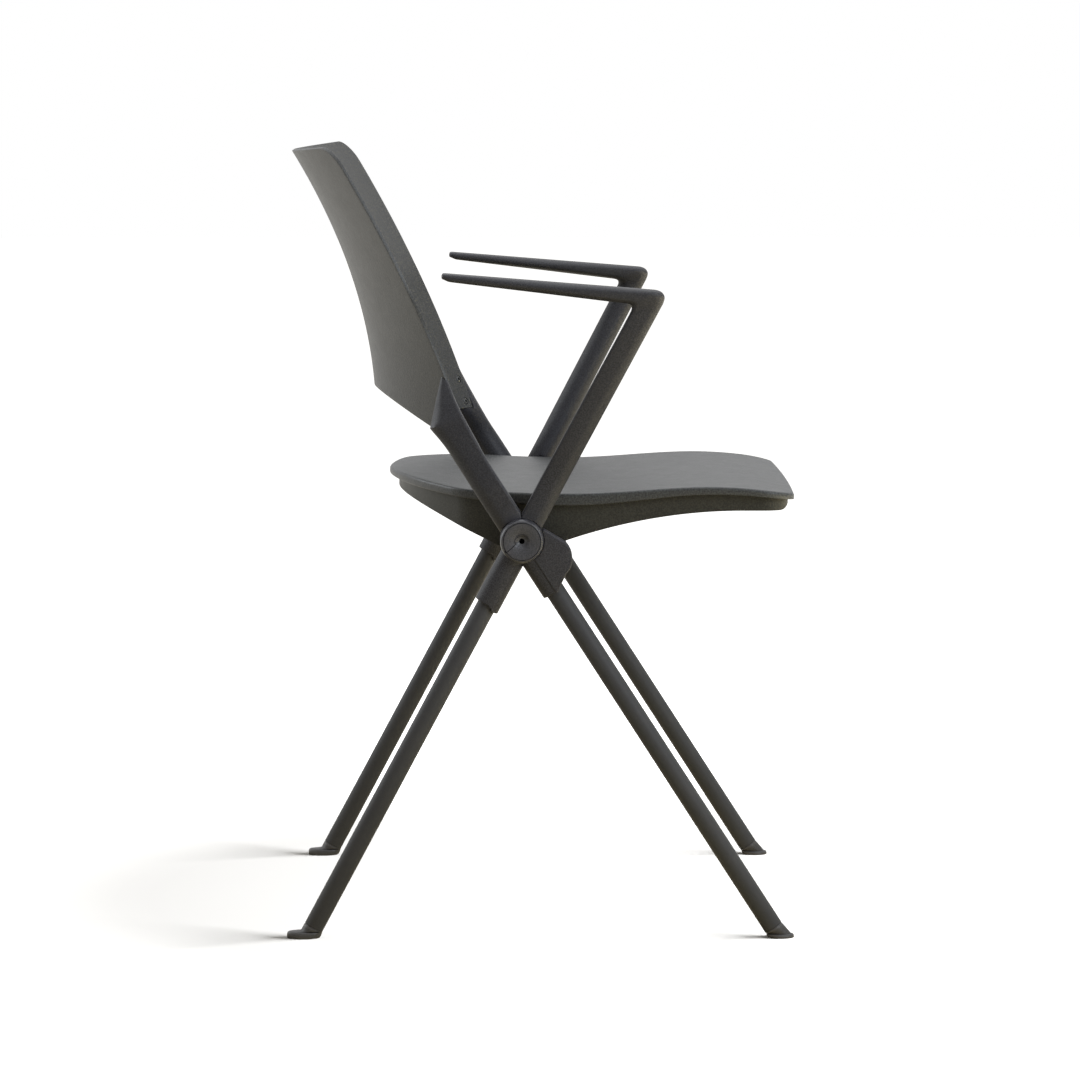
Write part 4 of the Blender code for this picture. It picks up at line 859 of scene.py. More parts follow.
def seat_pan():
    seat, pan = sizes("seat"), sizes("pan")
    bm = bmesh.new()
    top = seat_outline(bm, seat, pan.inset)
    _, floor = extruded_ring(bm, top)
    upper = {vert for edge in top for vert in edge.verts}
    rings_inward(bm, floor, seat_middle(seat), PAN_RINGS)
    for step in KEEL_LINES:
        faces = [face for face in bm.faces if upper.isdisjoint(face.verts)]
        parts = {item for face in faces for item in (face, *face.edges, *face.verts)}
        bmesh.ops.bisect_plane(bm, geom=list(parts), dist=MERGE, plane_co=(0, step * pan.keel_round, 0),
                               plane_no=(0, 1, 0))
    stretch = (seat.front - pan.front_inset) / (seat.front - pan.inset)
    for vert in bm.verts:
        if vert.co.y < 0:
            vert.co.y *= stretch
        if vert in upper:
            vert.co.z = seat_height(seat, vert.co.y) - pan.drop
        else:
            vert.co.z = pan_floor(seat, pan, vert.co.y, vert.co.x)
    face_toward(bm, (0, 0, -1))
    obj = new_object("seat_pan_moulding", bm)
    thicken(obj, pan.wall)
    soften(obj, pan.edge, 4,
           only=lambda place: place.z < pan_floor(seat, pan, place.y, place.x) + pan.wall / 3)
    wall = seat.width / 2 - pan.inset
    for end in ("front_left", "front_right", "rear_left", "rear_right"):
        low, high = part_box("seat_screw_" + end)
        place = (low + high) / 2 - AXIS
        at, head, tip = place.xy, low.z - AXIS.z, high.z - AXIS.z
        foot = pan_floor(seat, pan, place.y) + pan.wall / 2
        carve(obj, rod(pan.boss, (*at, foot), (*at, tip - pan.boss_gap), SMALL_STEPS), operation="UNION")
        carve(obj, rod(pan.head_hole, (*at, -OVERSHOOT), (*at, head + pan.head_depth), SMALL_STEPS))
    for sign in SIDES:
        carve(obj, rod(pan.bore, (sign * (wall - OVERSHOOT / 2), 0, 0), (sign * (wall + OVERSHOOT), 0, 0)))
    set_piece(obj, "seat", "seat_plastic", "seat_pan", finish="pan_plastic")


# Back

# Faces across and up the sheet, share of its height where the corners start, power of the lower edge's curve
BACK_GRID = (120, 66)
CORNER_START = 0.82
DROOP_POWER = 2.4


def back_rim(back, height):
    """Rearward reach of the rear face at the side edges."""
    return back.reach - back.wrap + back.rim_tilt * height + back.rim_bow * (height / back.height) ** 2


def back_point(back, x, height):
    """A point of the rear face, at a height above the lower edge's middle."""
    centre = back.reach + back.centre_tilt * height + back.centre_bow * (height / back.height) ** 2
    part = 2 * x / back.wrap_width
    return Vector((x, centre - (centre - back_rim(back, height)) * part ** 2, back.rise + height))


def back_normal(back, x, height):
    step = 0.0005
    across = back_point(back, x + step, height) - back_point(back, x - step, height)
    up = back_point(back, x, height + step) - back_point(back, x, height - step)
    return up.cross(across).normalized()


def back_lower_edge(back, x):
    """Height of the lower edge: it droops to the sides and drops into an ear at each corner."""
    droop = back.droop * (2 * x / back.width) ** DROOP_POWER - back.lift
    return -droop - (back.ear_drop - droop) * smooth((x - back.width / 2 + back.ear_width) / back.ear_run)


def back_sheet(back, grow=0.0):
    """The rear face as an open sheet that looks rearward."""
    half = back.width / 2

    def point(u, v):
        x = half * (1 - 2 * u)
        bend = QUARTER * max(0, (v - CORNER_START) / (1 - CORNER_START))
        narrow = 1 - back.corner * (1 - math.cos(bend)) / half
        bottom = back_lower_edge(back, abs(x)) - grow
        top = back.height + back.crown * (x / half) ** 2 + grow
        height = bottom + (top - back.corner - bottom) * min(1, v / CORNER_START)
        height += back.corner * math.sin(bend)
        return back_point(back, x * narrow * (half + grow) / half, height)

    return grid(*BACK_GRID, point)


def back_screw_seat(back, screw, sign, height):
    """Where a back screw's head sits in the front face, and the shell's outward direction there."""
    x = sign * (back.width / 2 - screw.back_inset)
    out = back_normal(back, x, height)
    return back_point(back, x, height) - out * (back.skin - screw.back_sink), out


def back_shell():
    back = sizes("back")
    obj = new_object("back_moulding", back_sheet(back))
    thicken(obj, back.skin)
    soften(obj, back.edge, 4, RIM_SHARP)
    screw = sizes("screw")
    for sign in SIDES:
        for height in (screw.upper_height, screw.lower_height):
            seat, out = back_screw_seat(back, screw, sign, height)
            carve(obj, rod(screw.head + FIT, seat, seat - out * 2 * back.skin, SMALL_STEPS))
    set_piece(obj, "frame", "back_plastic", "back_shell")


# Bars

# Bulge of the sides, the rounding that gives all of it, and the largest rounding as a share of half the bar
BULGE = 0.28
BULGE_FULL = 0.012
ROUNDEST = 0.96
# Shares of its size at which a bar's flat end has a ring
END_RINGS = (0.06, 0.35, 0.65, 1.0)


def beside(direction):
    """The direction square to a member in the side view."""
    return Vector((0, direction.z, -direction.y))


def side_point(direction, reach, side):
    """A point of the side view, along a member from the hub and to one side of it."""
    return (direction * reach + beside(direction) * side).yz


def member(lean, to_rear, upward):
    return Vector((0, to_rear * math.sin(lean), upward * math.cos(lean)))


def section(front, rear, x, depth, roundings):
    """A bar's section: the two edges of its side view, its place and depth across, and its roundings.

    The roundings go round from the outer front edge to the inner front edge.
    """
    return Vector((*front, *rear, x, depth, *roundings))


def eased(sections, steps):
    """More sections along a smooth curve through those given."""
    ends = [2 * sections[0] - sections[1], *sections, 2 * sections[-1] - sections[-2]]
    made = []
    for a, b, c, d in zip(ends, ends[1:], ends[2:], ends[3:]):
        for i in range(steps):
            t = i / steps
            bend = (2 * a - 5 * b + 4 * c - d) * t ** 2 + (3 * b - a - 3 * c + d) * t ** 3
            made.append((2 * b + (c - a) * t + bend) / 2)
    return made + [sections[-1]]


def bar(sections, steps=7):
    """A solid lofted through rounded sections."""
    rows, sides = len(sections) - 1, 4 * (steps + 1)

    def point(u, v):
        front_y, front_z, rear_y, rear_z, x, depth, *roundings = sections[round(u * rows)]
        front, rear = Vector((x, front_y, front_z)), Vector((x, rear_y, rear_z))
        across = (front - rear).normalized()
        half, side = (front - rear).length / 2, depth / 2
        quarter, step = divmod(round(v * sides) % sides, steps + 1)
        bend = QUARTER * (quarter + step / steps)
        radius = min(roundings[quarter], ROUNDEST * half, ROUNDEST * side)
        ahead = (half - radius) * (1 if quarter in (0, 3) else -1) + radius * math.cos(bend)
        out = (side - radius) * (1 if quarter in (0, 1) else -1) + radius * math.sin(bend)
        bulge = BULGE * min(radius / BULGE_FULL, 1) ** 3
        out *= 1 - bulge * (ahead / half) ** 2
        return (front + rear) / 2 + across * ahead + Vector((out, 0, 0))

    return close_up(grid(rows, sides, point))


def hub_end(direction, half, depth, roundings):
    """The flat end of a member at the hub, in rings from its middle to its edge."""
    made = []
    for portion in END_RINGS:
        front, rear = side_point(direction, 0, -half * portion), side_point(direction, 0, half * portion)
        smaller = [portion * rounding for rounding in roundings]
        made.append(section(front, rear, HUB_X, depth * portion, smaller))
    return made


def seat_on_hub(bm, direction, facing, hub):
    """Slides a member's end out until it clears the barrel and the neighbouring member."""
    reach = hub.barrel + hub.clear
    near = 3 * reach
    ahead = beside(direction)
    for vert in [vert for vert in bm.verts if vert.co.yz.length < near]:
        side = vert.co.dot(ahead)
        round_barrel = math.sqrt(max(0, reach ** 2 - side ** 2))
        to_neighbour = (FIT / 2 - side * facing.dot(ahead)) / facing.dot(direction)
        shortfall = max(round_barrel, to_neighbour) - vert.co.dot(direction)
        if shortfall > 0:
            vert.co += direction * shortfall


def tenon_cuts(direction, hub, screw, depth):
    """The pocket for the hub's tenon, and the recess for the screw head on the inner side."""
    size = hub.tenon + 2 * FIT
    centre = direction * (hub.tenon_end / 2) + HUB
    pocket = block((size, size, hub.tenon_end + 2 * FIT), along(direction, centre))
    face = direction * hub.screw_along + HUB - OUT * (depth / 2)
    seat = face + OUT * (screw.head_height + FIT)
    recess = rod(screw.head + FIT, face - OUT * OVERSHOOT, seat, SMALL_STEPS)
    return pocket, recess


def meeting(post_lean, arm_lean):
    """Facing of the plane where post and upright meet over the hub, toward the post."""
    lean = (post_lean - arm_lean) / 2
    return Vector((0, math.cos(lean), -math.sin(lean)))


# Post's sections: where the first lies in the straight run, the pad's share at each, first lapped one, heel
POST_START = 0.6
POST_PADS = (0, 0, 0, 1, 0.6, 0.2, 0)
FIRST_LAPPED, HEEL = 3, 4


def back_posts():
    post, back, hub, screw = sizes("post"), sizes("back"), sizes("hub"), sizes("screw")
    direction = member(post.lean, 1, 1)
    half = post.width / 2

    def rim_point(place):
        height, offset = place
        return Vector((back_rim(back, height) + offset, back.rise + height))

    straight = sizes("arm").straight
    bend = direction.z * straight
    runs = [(side_point(direction, reach, -half), side_point(direction, reach, half), post.depth)
            for reach in (straight * POST_START, straight, post.straight)]
    runs += [(rim_point(post.bend_front), rim_point(post.bend_rear), post.depth),
             (rim_point(post.heel_front), rim_point(post.heel_rear), post.depth),
             (rim_point(post.neck_front), rim_point(post.neck_rear), post.neck_depth),
             (rim_point(post.tip_front), rim_point(post.tip_rear), post.tip_depth)]
    sections = []
    roundings = (post.edge_rounding, post.rounding, post.rounding, post.rounding)
    lapped = (*roundings[:3], post.lap_rounding)
    for number, (front, rear, depth) in enumerate(runs):
        pad = POST_PADS[number] * post.pad
        middle = (front + rear) / 2
        part = max(0, (middle.y - bend) / (back.rise - bend))
        x = HUB_X + (back.width / 2 + post.top_offset - HUB_X) * part - (post.depth - depth + pad) / 2
        edges = roundings if number < FIRST_LAPPED else lapped
        sections.append(section(front, rear, x, depth + pad, edges))
    lower, upper = eased(sections[:HEEL + 1], 6), eased(sections[HEEL:], 6)
    bm = bar(hub_end(direction, half, post.depth, roundings) + lower + upper[1:])
    seat_on_hub(bm, direction, meeting(post.lean, sizes("arm").lean), hub)
    obj = new_object("back_post_moulding", round_edges(bm, hub.member_edge, 2, END_SHARP))
    lap = back_sheet(back, FIT)
    for vert in lap.verts:
        vert.co += vert.normal * FIT
    carve(obj, thick_tool(lap, back.lap), *tenon_cuts(direction, hub, screw, post.depth))
    set_pair(obj, "frame", "frame_plastic", "back_post")


def crossing(a, along_a, b, along_b):
    """Where two lines of the side view cross."""
    return a + along_a * ((b - a).cross(along_b) / along_a.cross(along_b))


def fillet(corner, before, after, setback, steps):
    """A curve that leaves one line before its corner and joins the other after it."""
    start, end = corner - before * setback, corner + after * setback
    shares = [i / steps for i in range(steps + 1)]
    return [start * (1 - t) ** 2 + corner * 2 * t * (1 - t) + end * t ** 2 for t in shares]


# Upright: shares of its run that have a section, and the last share, over which it turns upright again
UPRIGHT_PARTS = (-0.35, 0.0, 0.25, 0.5, 0.75, 0.85, 0.9, 0.95)
UPRIGHT_EASE = 0.15
# Share of the swelling toward the armrest that the upright takes, before the fold takes the rest
EARLY_SWELL = 0.25
# Steps round the fold and along the armrest, and how fast the armrest gets its full width behind the fold
FOLD_STEPS, REST_STEPS, WIDENING = 14, 14, 6
# Armrest's tip: share of its run, fall of its top, height and width there
TIP_ROUNDING = ((0.3, 0.0, 0.87, 0.985), (0.6, 0.0, 0.74, 0.95), (0.8, 0.012, 0.65, 0.91),
                (0.9, 0.05, 0.58, 0.86), (0.96, 0.11, 0.48, 0.79), (1.0, 0.21, 0.28, 0.66))


def tip_sections(arm, before_tip, back, x):
    """The sections that round off an armrest's tip."""
    made = []
    for part, drop, height, width in TIP_ROUNDING:
        front = before_tip + back * arm.tip_run * part - Vector((0, arm.tip_height * drop))
        rear = front - Vector((0, arm.tip_height * height))
        made.append(section(front, rear, x, arm.tip_width * width, [arm.rest_rounding] * 4))
    return made


def arms():
    arm, hub, screw = sizes("arm"), sizes("hub"), sizes("screw")
    direction = member(arm.lean, -1, 1)
    half = arm.width / 2
    up = direction.yz
    top = (arm.rise - direction.y * half) / direction.z
    corner = side_point(direction, top, -half)
    back = Vector((1, arm.slope)).normalized()
    under = Vector((1, arm.under_slope)).normalized()
    tip = corner + back * ((arm.tip_reach - corner.x) / back.x)
    tip_under = tip + Vector((-arm.tip_run, -arm.tip_height))
    inner = crossing(side_point(direction, 0, half), up, tip_under, under)
    fold = (-up).angle(back)
    outer_set = arm.corner / math.tan(fold / 2)
    outer_arc = fillet(corner, up, back, outer_set, FOLD_STEPS)
    inner_arc = fillet(inner, up, under, arm.inner_corner / math.tan(fold / 2), FOLD_STEPS)
    bend, inner_bend = top - outer_set, inner_arc[0].dot(up)
    plain = (arm.rounding, arm.edge_rounding, arm.rounding, arm.rounding)

    def swell(part):
        """Goes from the upright's section to the armrest's."""
        part = smooth(part)
        roundings = [rounding + (arm.rest_rounding - rounding) * part for rounding in plain]
        return arm.depth + (arm.fold_width - arm.depth) * part, roundings

    uprights = []
    for part in UPRIGHT_PARTS:
        late = max(0, part - 1 + UPRIGHT_EASE) / UPRIGHT_EASE
        x = HUB_X + arm.spread * (max(0, part) - late ** 2 * UPRIGHT_EASE / 2) / (1 - UPRIGHT_EASE / 2)
        front = side_point(direction, arm.straight + (bend - arm.straight) * part, -half)
        rear = side_point(direction, arm.straight + (inner_bend - arm.straight) * part, half)
        uprights.append(section(front, rear, x, *swell(late * EARLY_SWELL)))
    x = HUB_X + arm.spread
    rests = []
    for i, (front, rear) in enumerate(zip(outer_arc, inner_arc)):
        rests.append(section(front, rear, x, *swell(EARLY_SWELL + (1 - EARLY_SWELL) * i / FOLD_STEPS)))
    before_tip = tip - back * arm.tip_run
    for i in range(1, REST_STEPS + 1):
        part = i / REST_STEPS
        width = arm.rest_width + (arm.tip_width - arm.rest_width) * part
        width -= (arm.rest_width - arm.fold_width) * (1 - part) ** WIDENING
        front, rear = outer_arc[-1].lerp(before_tip, part), inner_arc[-1].lerp(tip_under, part)
        rests.append(section(front, rear, x, width, [arm.rest_rounding] * 4))
    rests += tip_sections(arm, before_tip, back, x)
    bm = bar(hub_end(direction, half, arm.depth, plain) + eased(uprights, 4) + rests)
    seat_on_hub(bm, direction, -meeting(sizes("post").lean, arm.lean), hub)
    obj = new_object("arm_moulding", round_edges(bm, hub.member_edge, 2, END_SHARP))
    carve(obj, *tenon_cuts(direction, hub, screw, arm.depth))
    set_pair(obj, "frame", "frame_plastic", "arm")


# Hubs and legs
def leg_directions():
    hub = sizes("hub")
    return {"rear": member(hub.rear_lean, 1, -1), "front": member(hub.front_lean, -1, -1)}


def leg_socket(end, direction, hub):
    """A leg's socket: the rear one has a lip in front, and the front one is shorter under the bracket."""
    reach = hub.rear_socket if end == "rear" else hub.front_socket
    bm = rod(hub.socket, HUB, HUB + direction * reach)
    for vert in bm.verts:
        place = vert.co - HUB
        if place.dot(direction) < reach / 2:
            continue
        side = place.dot(beside(direction)) / hub.socket
        if end == "rear":
            vert.co += direction * hub.socket_lip * smooth((side - hub.lip_start) / hub.lip_run)
        else:
            vert.co -= direction * hub.socket_slant * max(0, side)
    return round_edges(bm, hub.socket_edge, 3)


def bracket_lug(front, hub):
    """The lug beside the front socket that the stop bracket is screwed to."""
    ahead = beside(front)
    reach = hub.lug_side + hub.lug_width / 2
    x = HUB_X - sizes("stop").inner - FIT - hub.lug / 2
    place = Matrix((OUT, ahead, front)).transposed().to_4x4()
    place.translation = front * hub.lug_along + ahead * reach / 2 + OUT * x
    return round_edges(block((hub.lug, reach, hub.lug_width), place), hub.lug_edge, 3)


def barrel_bore(hub):
    """The barrel's stepped bore: for the cap's skirt, the bolt and the crossbar."""
    cap, bolt = sizes("cap").skirt + FIT, sizes("screw").bolt_shank + FIT
    mouth, outer_end, inner_end = hub.barrel + FIT, hub.outer * 2, -hub.inner * 2
    profile = [(0, outer_end), (mouth, outer_end), (mouth, hub.outer), (cap, hub.outer), (cap, hub.web_outer),
               (bolt, hub.web_outer), (bolt, -hub.web_inner), (hub.bar_bore, -hub.web_inner),
               (hub.bar_bore, inner_end), (0, inner_end)]
    return turned(profile, along(OUT, HUB))


def hubs():
    hub, directions = sizes("hub"), leg_directions()
    profile = [(0, hub.outer), (hub.barrel, hub.outer), (hub.barrel, -hub.inner), (0, -hub.inner)]
    obj = new_object("hub_moulding", round_edges(turned(profile, along(OUT, HUB)), hub.edge, 3))
    for end, direction in directions.items():
        carve(obj, leg_socket(end, direction, hub), operation="UNION")
    for direction in (member(sizes("post").lean, 1, 1), member(sizes("arm").lean, -1, 1)):
        place = along(direction, HUB + direction * hub.tenon_end / 2)
        tenon = block((hub.tenon, hub.tenon, hub.tenon_end), place)
        carve(obj, round_edges(tenon, hub.edge), operation="UNION")
    carve(obj, bracket_lug(directions["front"], hub), operation="UNION")
    for direction in directions.values():
        start, end = HUB + direction * hub.socket_floor, HUB + direction * 2 * hub.rear_socket
        carve(obj, rod(hub.tube + FIT, start, end))
    carve(obj, barrel_bore(hub))
    set_pair(obj, "frame", "frame_plastic", "hub", "hub_plastic")


# Cap: rings of its face, steps round its shoulder, the groove's radius as a share of the recess, its steps
FACE_PARTS = (0.08, 0.3, 0.55, 0.8, 0.96)
SHOULDER_STEPS = 8
GROOVE_SHARE, GROOVE_STEPS = 1.03, 24


def hub_caps():
    cap, hub = sizes("cap"), sizes("hub")
    base = hub.outer + FIT
    face = base + cap.height
    floor = face - cap.dish - cap.recess_depth
    bevel, bevel_rise = cap.hole_edge
    wall, wall_foot = cap.recess_wall
    line_start = cap.face - cap.line
    profile = [(cap.hole, floor), (cap.hole + bevel, floor + bevel_rise),
               (cap.recess - wall, floor + wall_foot), (cap.recess, face - cap.dish)]
    profile += [(cap.recess + (line_start - cap.recess) * part, face - cap.dish * (1 - part) ** 2)
                for part in FACE_PARTS]
    profile += [(line_start, face), (cap.face - cap.line / 2, face - cap.line), (cap.face, face)]
    for step in range(1, SHOULDER_STEPS + 1):
        bend = QUARTER * step / SHOULDER_STEPS
        radius = cap.face + (hub.barrel - cap.face) * math.sin(bend)
        profile.append((radius, face - cap.shoulder * (1 - math.cos(bend))))
    inside, skirt, skirt_inner = face - cap.wall, base - cap.skirt_depth, cap.skirt - cap.skirt_wall
    profile += [(hub.barrel, base), (cap.skirt, base), (cap.skirt, skirt), (skirt_inner, skirt),
                (skirt_inner, inside), (cap.hole, inside)]
    obj = new_object("hub_cap_moulding", turned(profile, along(OUT, HUB), closed=True, steps=CAP_STEPS))
    groove = bmesh.new()
    line = Outline(groove, (cap.recess * GROOVE_SHARE, 0))
    line.arc((0, 0), cap.groove_turn, GROOVE_STEPS)
    end = line.tip.co.xy + Vector(cap.groove_tail)
    line.line(end)
    line.line(end + Vector(cap.groove_hook))
    walls = bmesh.ops.extrude_edge_only(groove, edges=groove.edges[:])["geom"]
    bmesh.ops.translate(groove, vec=(0, 0, cap.height), verts=verts_of(walls))
    facing = Matrix(((0, 0, 1), (-1, 0, 0), (0, 1, 0))).to_4x4()
    facing.translation = (HUB_X + face - cap.dish - cap.line, 0, 0)
    bmesh.ops.transform(groove, matrix=facing, verts=groove.verts)
    carve(obj, thick_tool(groove, cap.line, 0.0))
    set_pair(obj, "frame", "frame_plastic", "hub_cap", "cap_plastic")


def legs():
    hub, foot = sizes("hub"), sizes("foot")
    inner = hub.tube - hub.tube_wall
    for end, direction in leg_directions().items():
        start, stop = hub.socket_floor + FIT, AXIS.z / -direction.z - foot.height
        profile = [(hub.tube, -start), (hub.tube, -stop), (inner, -stop), (inner, -start)]
        bm = turned(profile, along(-direction, HUB), closed=True)
        obj = new_object(end + "_leg_tube", round_edges(bm, hub.tube_edge))
        set_pair(obj, "frame", "powder_coated_tube", end + "_leg")


# Sole: inset of its side and share of its height, up to its rounded upper edge
SOLE_ROUNDING = ((0.0002, 0.6), (0.0007, 0.85), (0.0016, 0.96), (0.0030, 1))
# Share of the sole's edge at its bevel, rings of the waist, shares of it that reach and leave the instep
SOLE_BEVEL = 0.3
WAIST_RINGS = 4
INSTEP_REACHED, INSTEP_LEFT = 0.45, 0.5


def foot_glide(end, direction):
    """A glide: a sole on the floor, a waist, a collar under the tube's end and a plug in the tube."""
    hub, foot = sizes("hub"), sizes("foot")
    plug = hub.tube - hub.tube_wall - FIT
    toe = foot.rear_toe if end == "rear" else foot.front_toe
    top = foot.rear_sole if end == "rear" else foot.front_sole
    lean = abs(direction.y / direction.z)
    ground = direction * (AXIS.z / -direction.z) + HUB
    outward = math.copysign(1, direction.y)
    reach = (toe + foot.heel) / 2
    middle = ground + Vector((0, outward * (toe - foot.heel) / 2, 0))
    across = Vector((0, outward * -direction.z, outward * direction.y))

    def sole(shrink, height, angle):
        ahead = (reach - shrink) * math.cos(angle) - height * lean * (1 - math.cos(angle)) / 2
        return middle + Vector(((foot.half_width - shrink) * math.sin(angle), outward * ahead, height))

    def collar(radius, back, angle):
        out = across * math.cos(angle) + OUT * math.sin(angle)
        return ground - direction * back + out * radius

    bevel = foot.edge * SOLE_BEVEL
    bottom = [(foot.edge, 0), (bevel, bevel), (0, foot.edge)]
    bottom += [(shrink, top * part) for shrink, part in SOLE_ROUNDING]
    upper = [(hub.tube, foot.height - foot.collar), (hub.tube - foot.collar_edge, foot.height - FIT),
             (plug, foot.height - FIT), (plug, foot.height + foot.plug)]
    waist = len(bottom) + WAIST_RINGS
    rows = waist + len(upper) - 1

    def point(u, v):
        row, angle = round(u * rows), 2 * math.pi * v
        if row < len(bottom):
            return sole(*bottom[row], angle)
        if row >= waist:
            return collar(*upper[row - waist], angle)
        part = (row - len(bottom) + 1) / (WAIST_RINGS + 1)
        low, high = sole(*bottom[-1], angle), collar(*upper[0], angle)
        if end == "front":
            return low.lerp(high, part)
        rise = top + foot.instep - across.z * hub.tube * math.cos(angle)
        instep = collar(hub.tube, rise / -direction.z, angle)
        if part < INSTEP_LEFT:
            return low.lerp(instep, part / INSTEP_REACHED)
        return instep.lerp(high, (part - INSTEP_LEFT) / (1 - INSTEP_LEFT))

    return close_up(grid(rows, FOOT_STEPS, point))


def foot_glides():
    for end, direction in leg_directions().items():
        obj = new_object(end + "_foot_glide", foot_glide(end, direction))
        set_pair(obj, "frame", "bush_plastic", end + "_glide")


# Stops

# Steps round the bracket's nose
NOSE_STEPS = 20


def stop_frame():
    """Where the pan rests: the contact's place, and the frame of the ledge and buffer under it."""
    seat, pan, stop = sizes("seat"), sizes("pan"), sizes("stop")
    slope = 2 * (pan.flat_rise + pan.keel) * (pan.flat_reach - stop.reach) / pan.flat_reach ** 2
    up = Vector((0, slope, 1)).normalized()
    contact = Vector((0, -stop.reach, pan_floor(seat, pan, -stop.reach)))
    return contact, up, Matrix.Rotation(-math.atan(slope), 4, "X"), seat.width / 2 - pan.inset


def stop_brackets():
    stop, hub = sizes("stop"), sizes("hub")
    front = leg_directions()["front"]
    bm = bmesh.new()
    outline = Outline(bm, (stop.start, 0))
    outline.line((stop.top_along, stop.top_side))
    outline.line((stop.nose_along + stop.nose * math.cos(stop.nose_start),
                  stop.nose_side + stop.nose * math.sin(stop.nose_start)))
    outline.arc((stop.nose_along, stop.nose_side), stop.nose_end - stop.nose_start, NOSE_STEPS)
    outline.line((hub.front_socket + stop.heel, 0))
    face = bmesh.ops.contextual_create(bm, geom=bm.verts[:])["faces"]
    made = bmesh.ops.extrude_face_region(bm, geom=face)["geom"]
    bmesh.ops.translate(bm, vec=(0, 0, stop.outer + stop.inner), verts=verts_of(made))
    place = Matrix((front, beside(front), OUT)).transposed().to_4x4()
    place.translation = (HUB_X - stop.inner, 0, 0)
    bmesh.ops.transform(bm, matrix=place, verts=bm.verts)
    bmesh.ops.recalc_face_normals(bm, faces=bm.faces)
    obj = new_object("stop_bracket_moulding", round_edges(bm, stop.edge, 4))
    contact, up, tilt, pan_side = stop_frame()
    reach = HUB_X - pan_side + stop.pad_width
    ledge_at = contact - up * (2 * FIT + stop.pad_height + stop.ledge_height / 2)
    ledge_at += OUT * (HUB_X - reach / 2)
    ledge = block((reach, stop.ledge_length, stop.ledge_height), Matrix.Translation(ledge_at) @ tilt)
    carve(obj, round_edges(ledge, stop.ledge_edge, 3), operation="UNION")
    barrel = rod(hub.barrel + hub.clear, HUB - OUT * OVERSHOOT, HUB + OUT * OVERSHOOT)
    socket = rod(hub.socket + FIT, HUB, HUB + front * (hub.front_socket + OVERSHOOT))
    carve(obj, barrel, socket)
    set_pair(obj, "frame", "frame_plastic", "stop_bracket", "hub_plastic")


def stop_buffers():
    stop = sizes("stop")
    contact, up, tilt, pan_side = stop_frame()
    at = contact - up * (FIT + stop.pad_height / 2) + OUT * (pan_side - stop.pad_width / 2)
    pad = block((stop.pad_width - 2 * FIT, stop.pad_length, stop.pad_height), Matrix.Translation(at) @ tilt)
    obj = new_object("stop_pad", round_edges(pad, stop.pad_edge, 4))
    set_pair(obj, "frame", "buffer_rubber", "stop_buffer")


# Pivot
def pivot():
    hub, sizing = sizes("hub"), sizes("pivot")
    low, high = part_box("pivot_bush_left")
    bar_low, bar_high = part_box("crossbar")
    radius = (bar_high.z - bar_low.z) / 2
    inner = radius + FIT
    outer = inner + sizing.bush_wall
    collar = (high.z - low.z) / 2
    wall = sizes("seat").width / 2 - sizes("pan").inset + FIT
    across = along(OUT)
    profile = [(collar, high.x), (collar, wall), (outer, wall), (outer, low.x),
               (inner, low.x), (inner, high.x)]
    bush = round_edges(turned(profile, across, closed=True), sizing.bush_edge)
    set_pair(new_object("pivot_bush_turning", bush), "seat", "bush_plastic", "pivot_bush")
    bore = radius - sizing.bar_wall
    profile = [(radius, bar_high.x), (radius, bar_low.x), (bore, bar_low.x), (bore, bar_high.x)]
    tube = new_object("crossbar_tube", round_edges(turned(profile, across, closed=True), hub.tube_edge))
    set_piece(tube, "frame", "powder_coated_tube", "crossbar")
    low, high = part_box("crossbar_plug_left")
    plug, thread = (high.z - low.z) / 2, sizes("screw").bolt_shank + FIT
    floor = low.x + sizing.plug_floor
    profile = [(0, floor), (thread, floor), (thread, high.x), (plug, high.x), (plug, low.x), (0, low.x)]
    turning = round_edges(turned(profile, across, steps=SMALL_STEPS), hub.tube_edge)
    set_pair(new_object("crossbar_plug_turning", turning), "frame", "zinc_steel", "crossbar_plug")


# Screws

# Radius and height along the crown, then point, socket depth and socket rim: shares of shank, head and key
CROWN = ((0.62, 0.97), (0.85, 0.84), (1, 0.55), (1, 0))
POINT, SOCKET_DEPTH, SOCKET_RIM = 0.6, 0.6, 1.3
INWARD_SCREWS = ("arm_screw", "post_screw", "rear_leg_screw", "front_leg_screw", "bracket_screw")


def socket_screw(head, head_height, shank, key, reach, matrix):
    """A button-headed screw with a hexagon socket, its head's seat at local zero and its shank downward."""
    profile = [(key * SOCKET_RIM, head_height)]
    profile += [(head * out, head_height * up) for out, up in CROWN]
    profile += [(shank, 0), (shank, shank - reach), (shank * POINT, -reach), (0, -reach)]
    bm = turned(profile, Matrix.Identity(4), steps=SCREW_STEPS)
    rim = [edge for edge in bm.edges if edge.is_boundary]
    made = bmesh.ops.create_circle(bm, segments=6, radius=key, matrix=Matrix.Translation((0, 0, head_height)))
    hexagon = list({edge for vert in made["verts"] for edge in vert.link_edges})
    bmesh.ops.bridge_loops(bm, edges=rim + hexagon)
    verts, ring = extruded_ring(bm, hexagon)
    bmesh.ops.translate(bm, vec=(0, 0, -head_height * SOCKET_DEPTH), verts=verts)
    bmesh.ops.contextual_create(bm, geom=ring)
    bmesh.ops.recalc_face_normals(bm, faces=bm.faces)
    bmesh.ops.transform(bm, matrix=matrix, verts=bm.verts)
    return bm


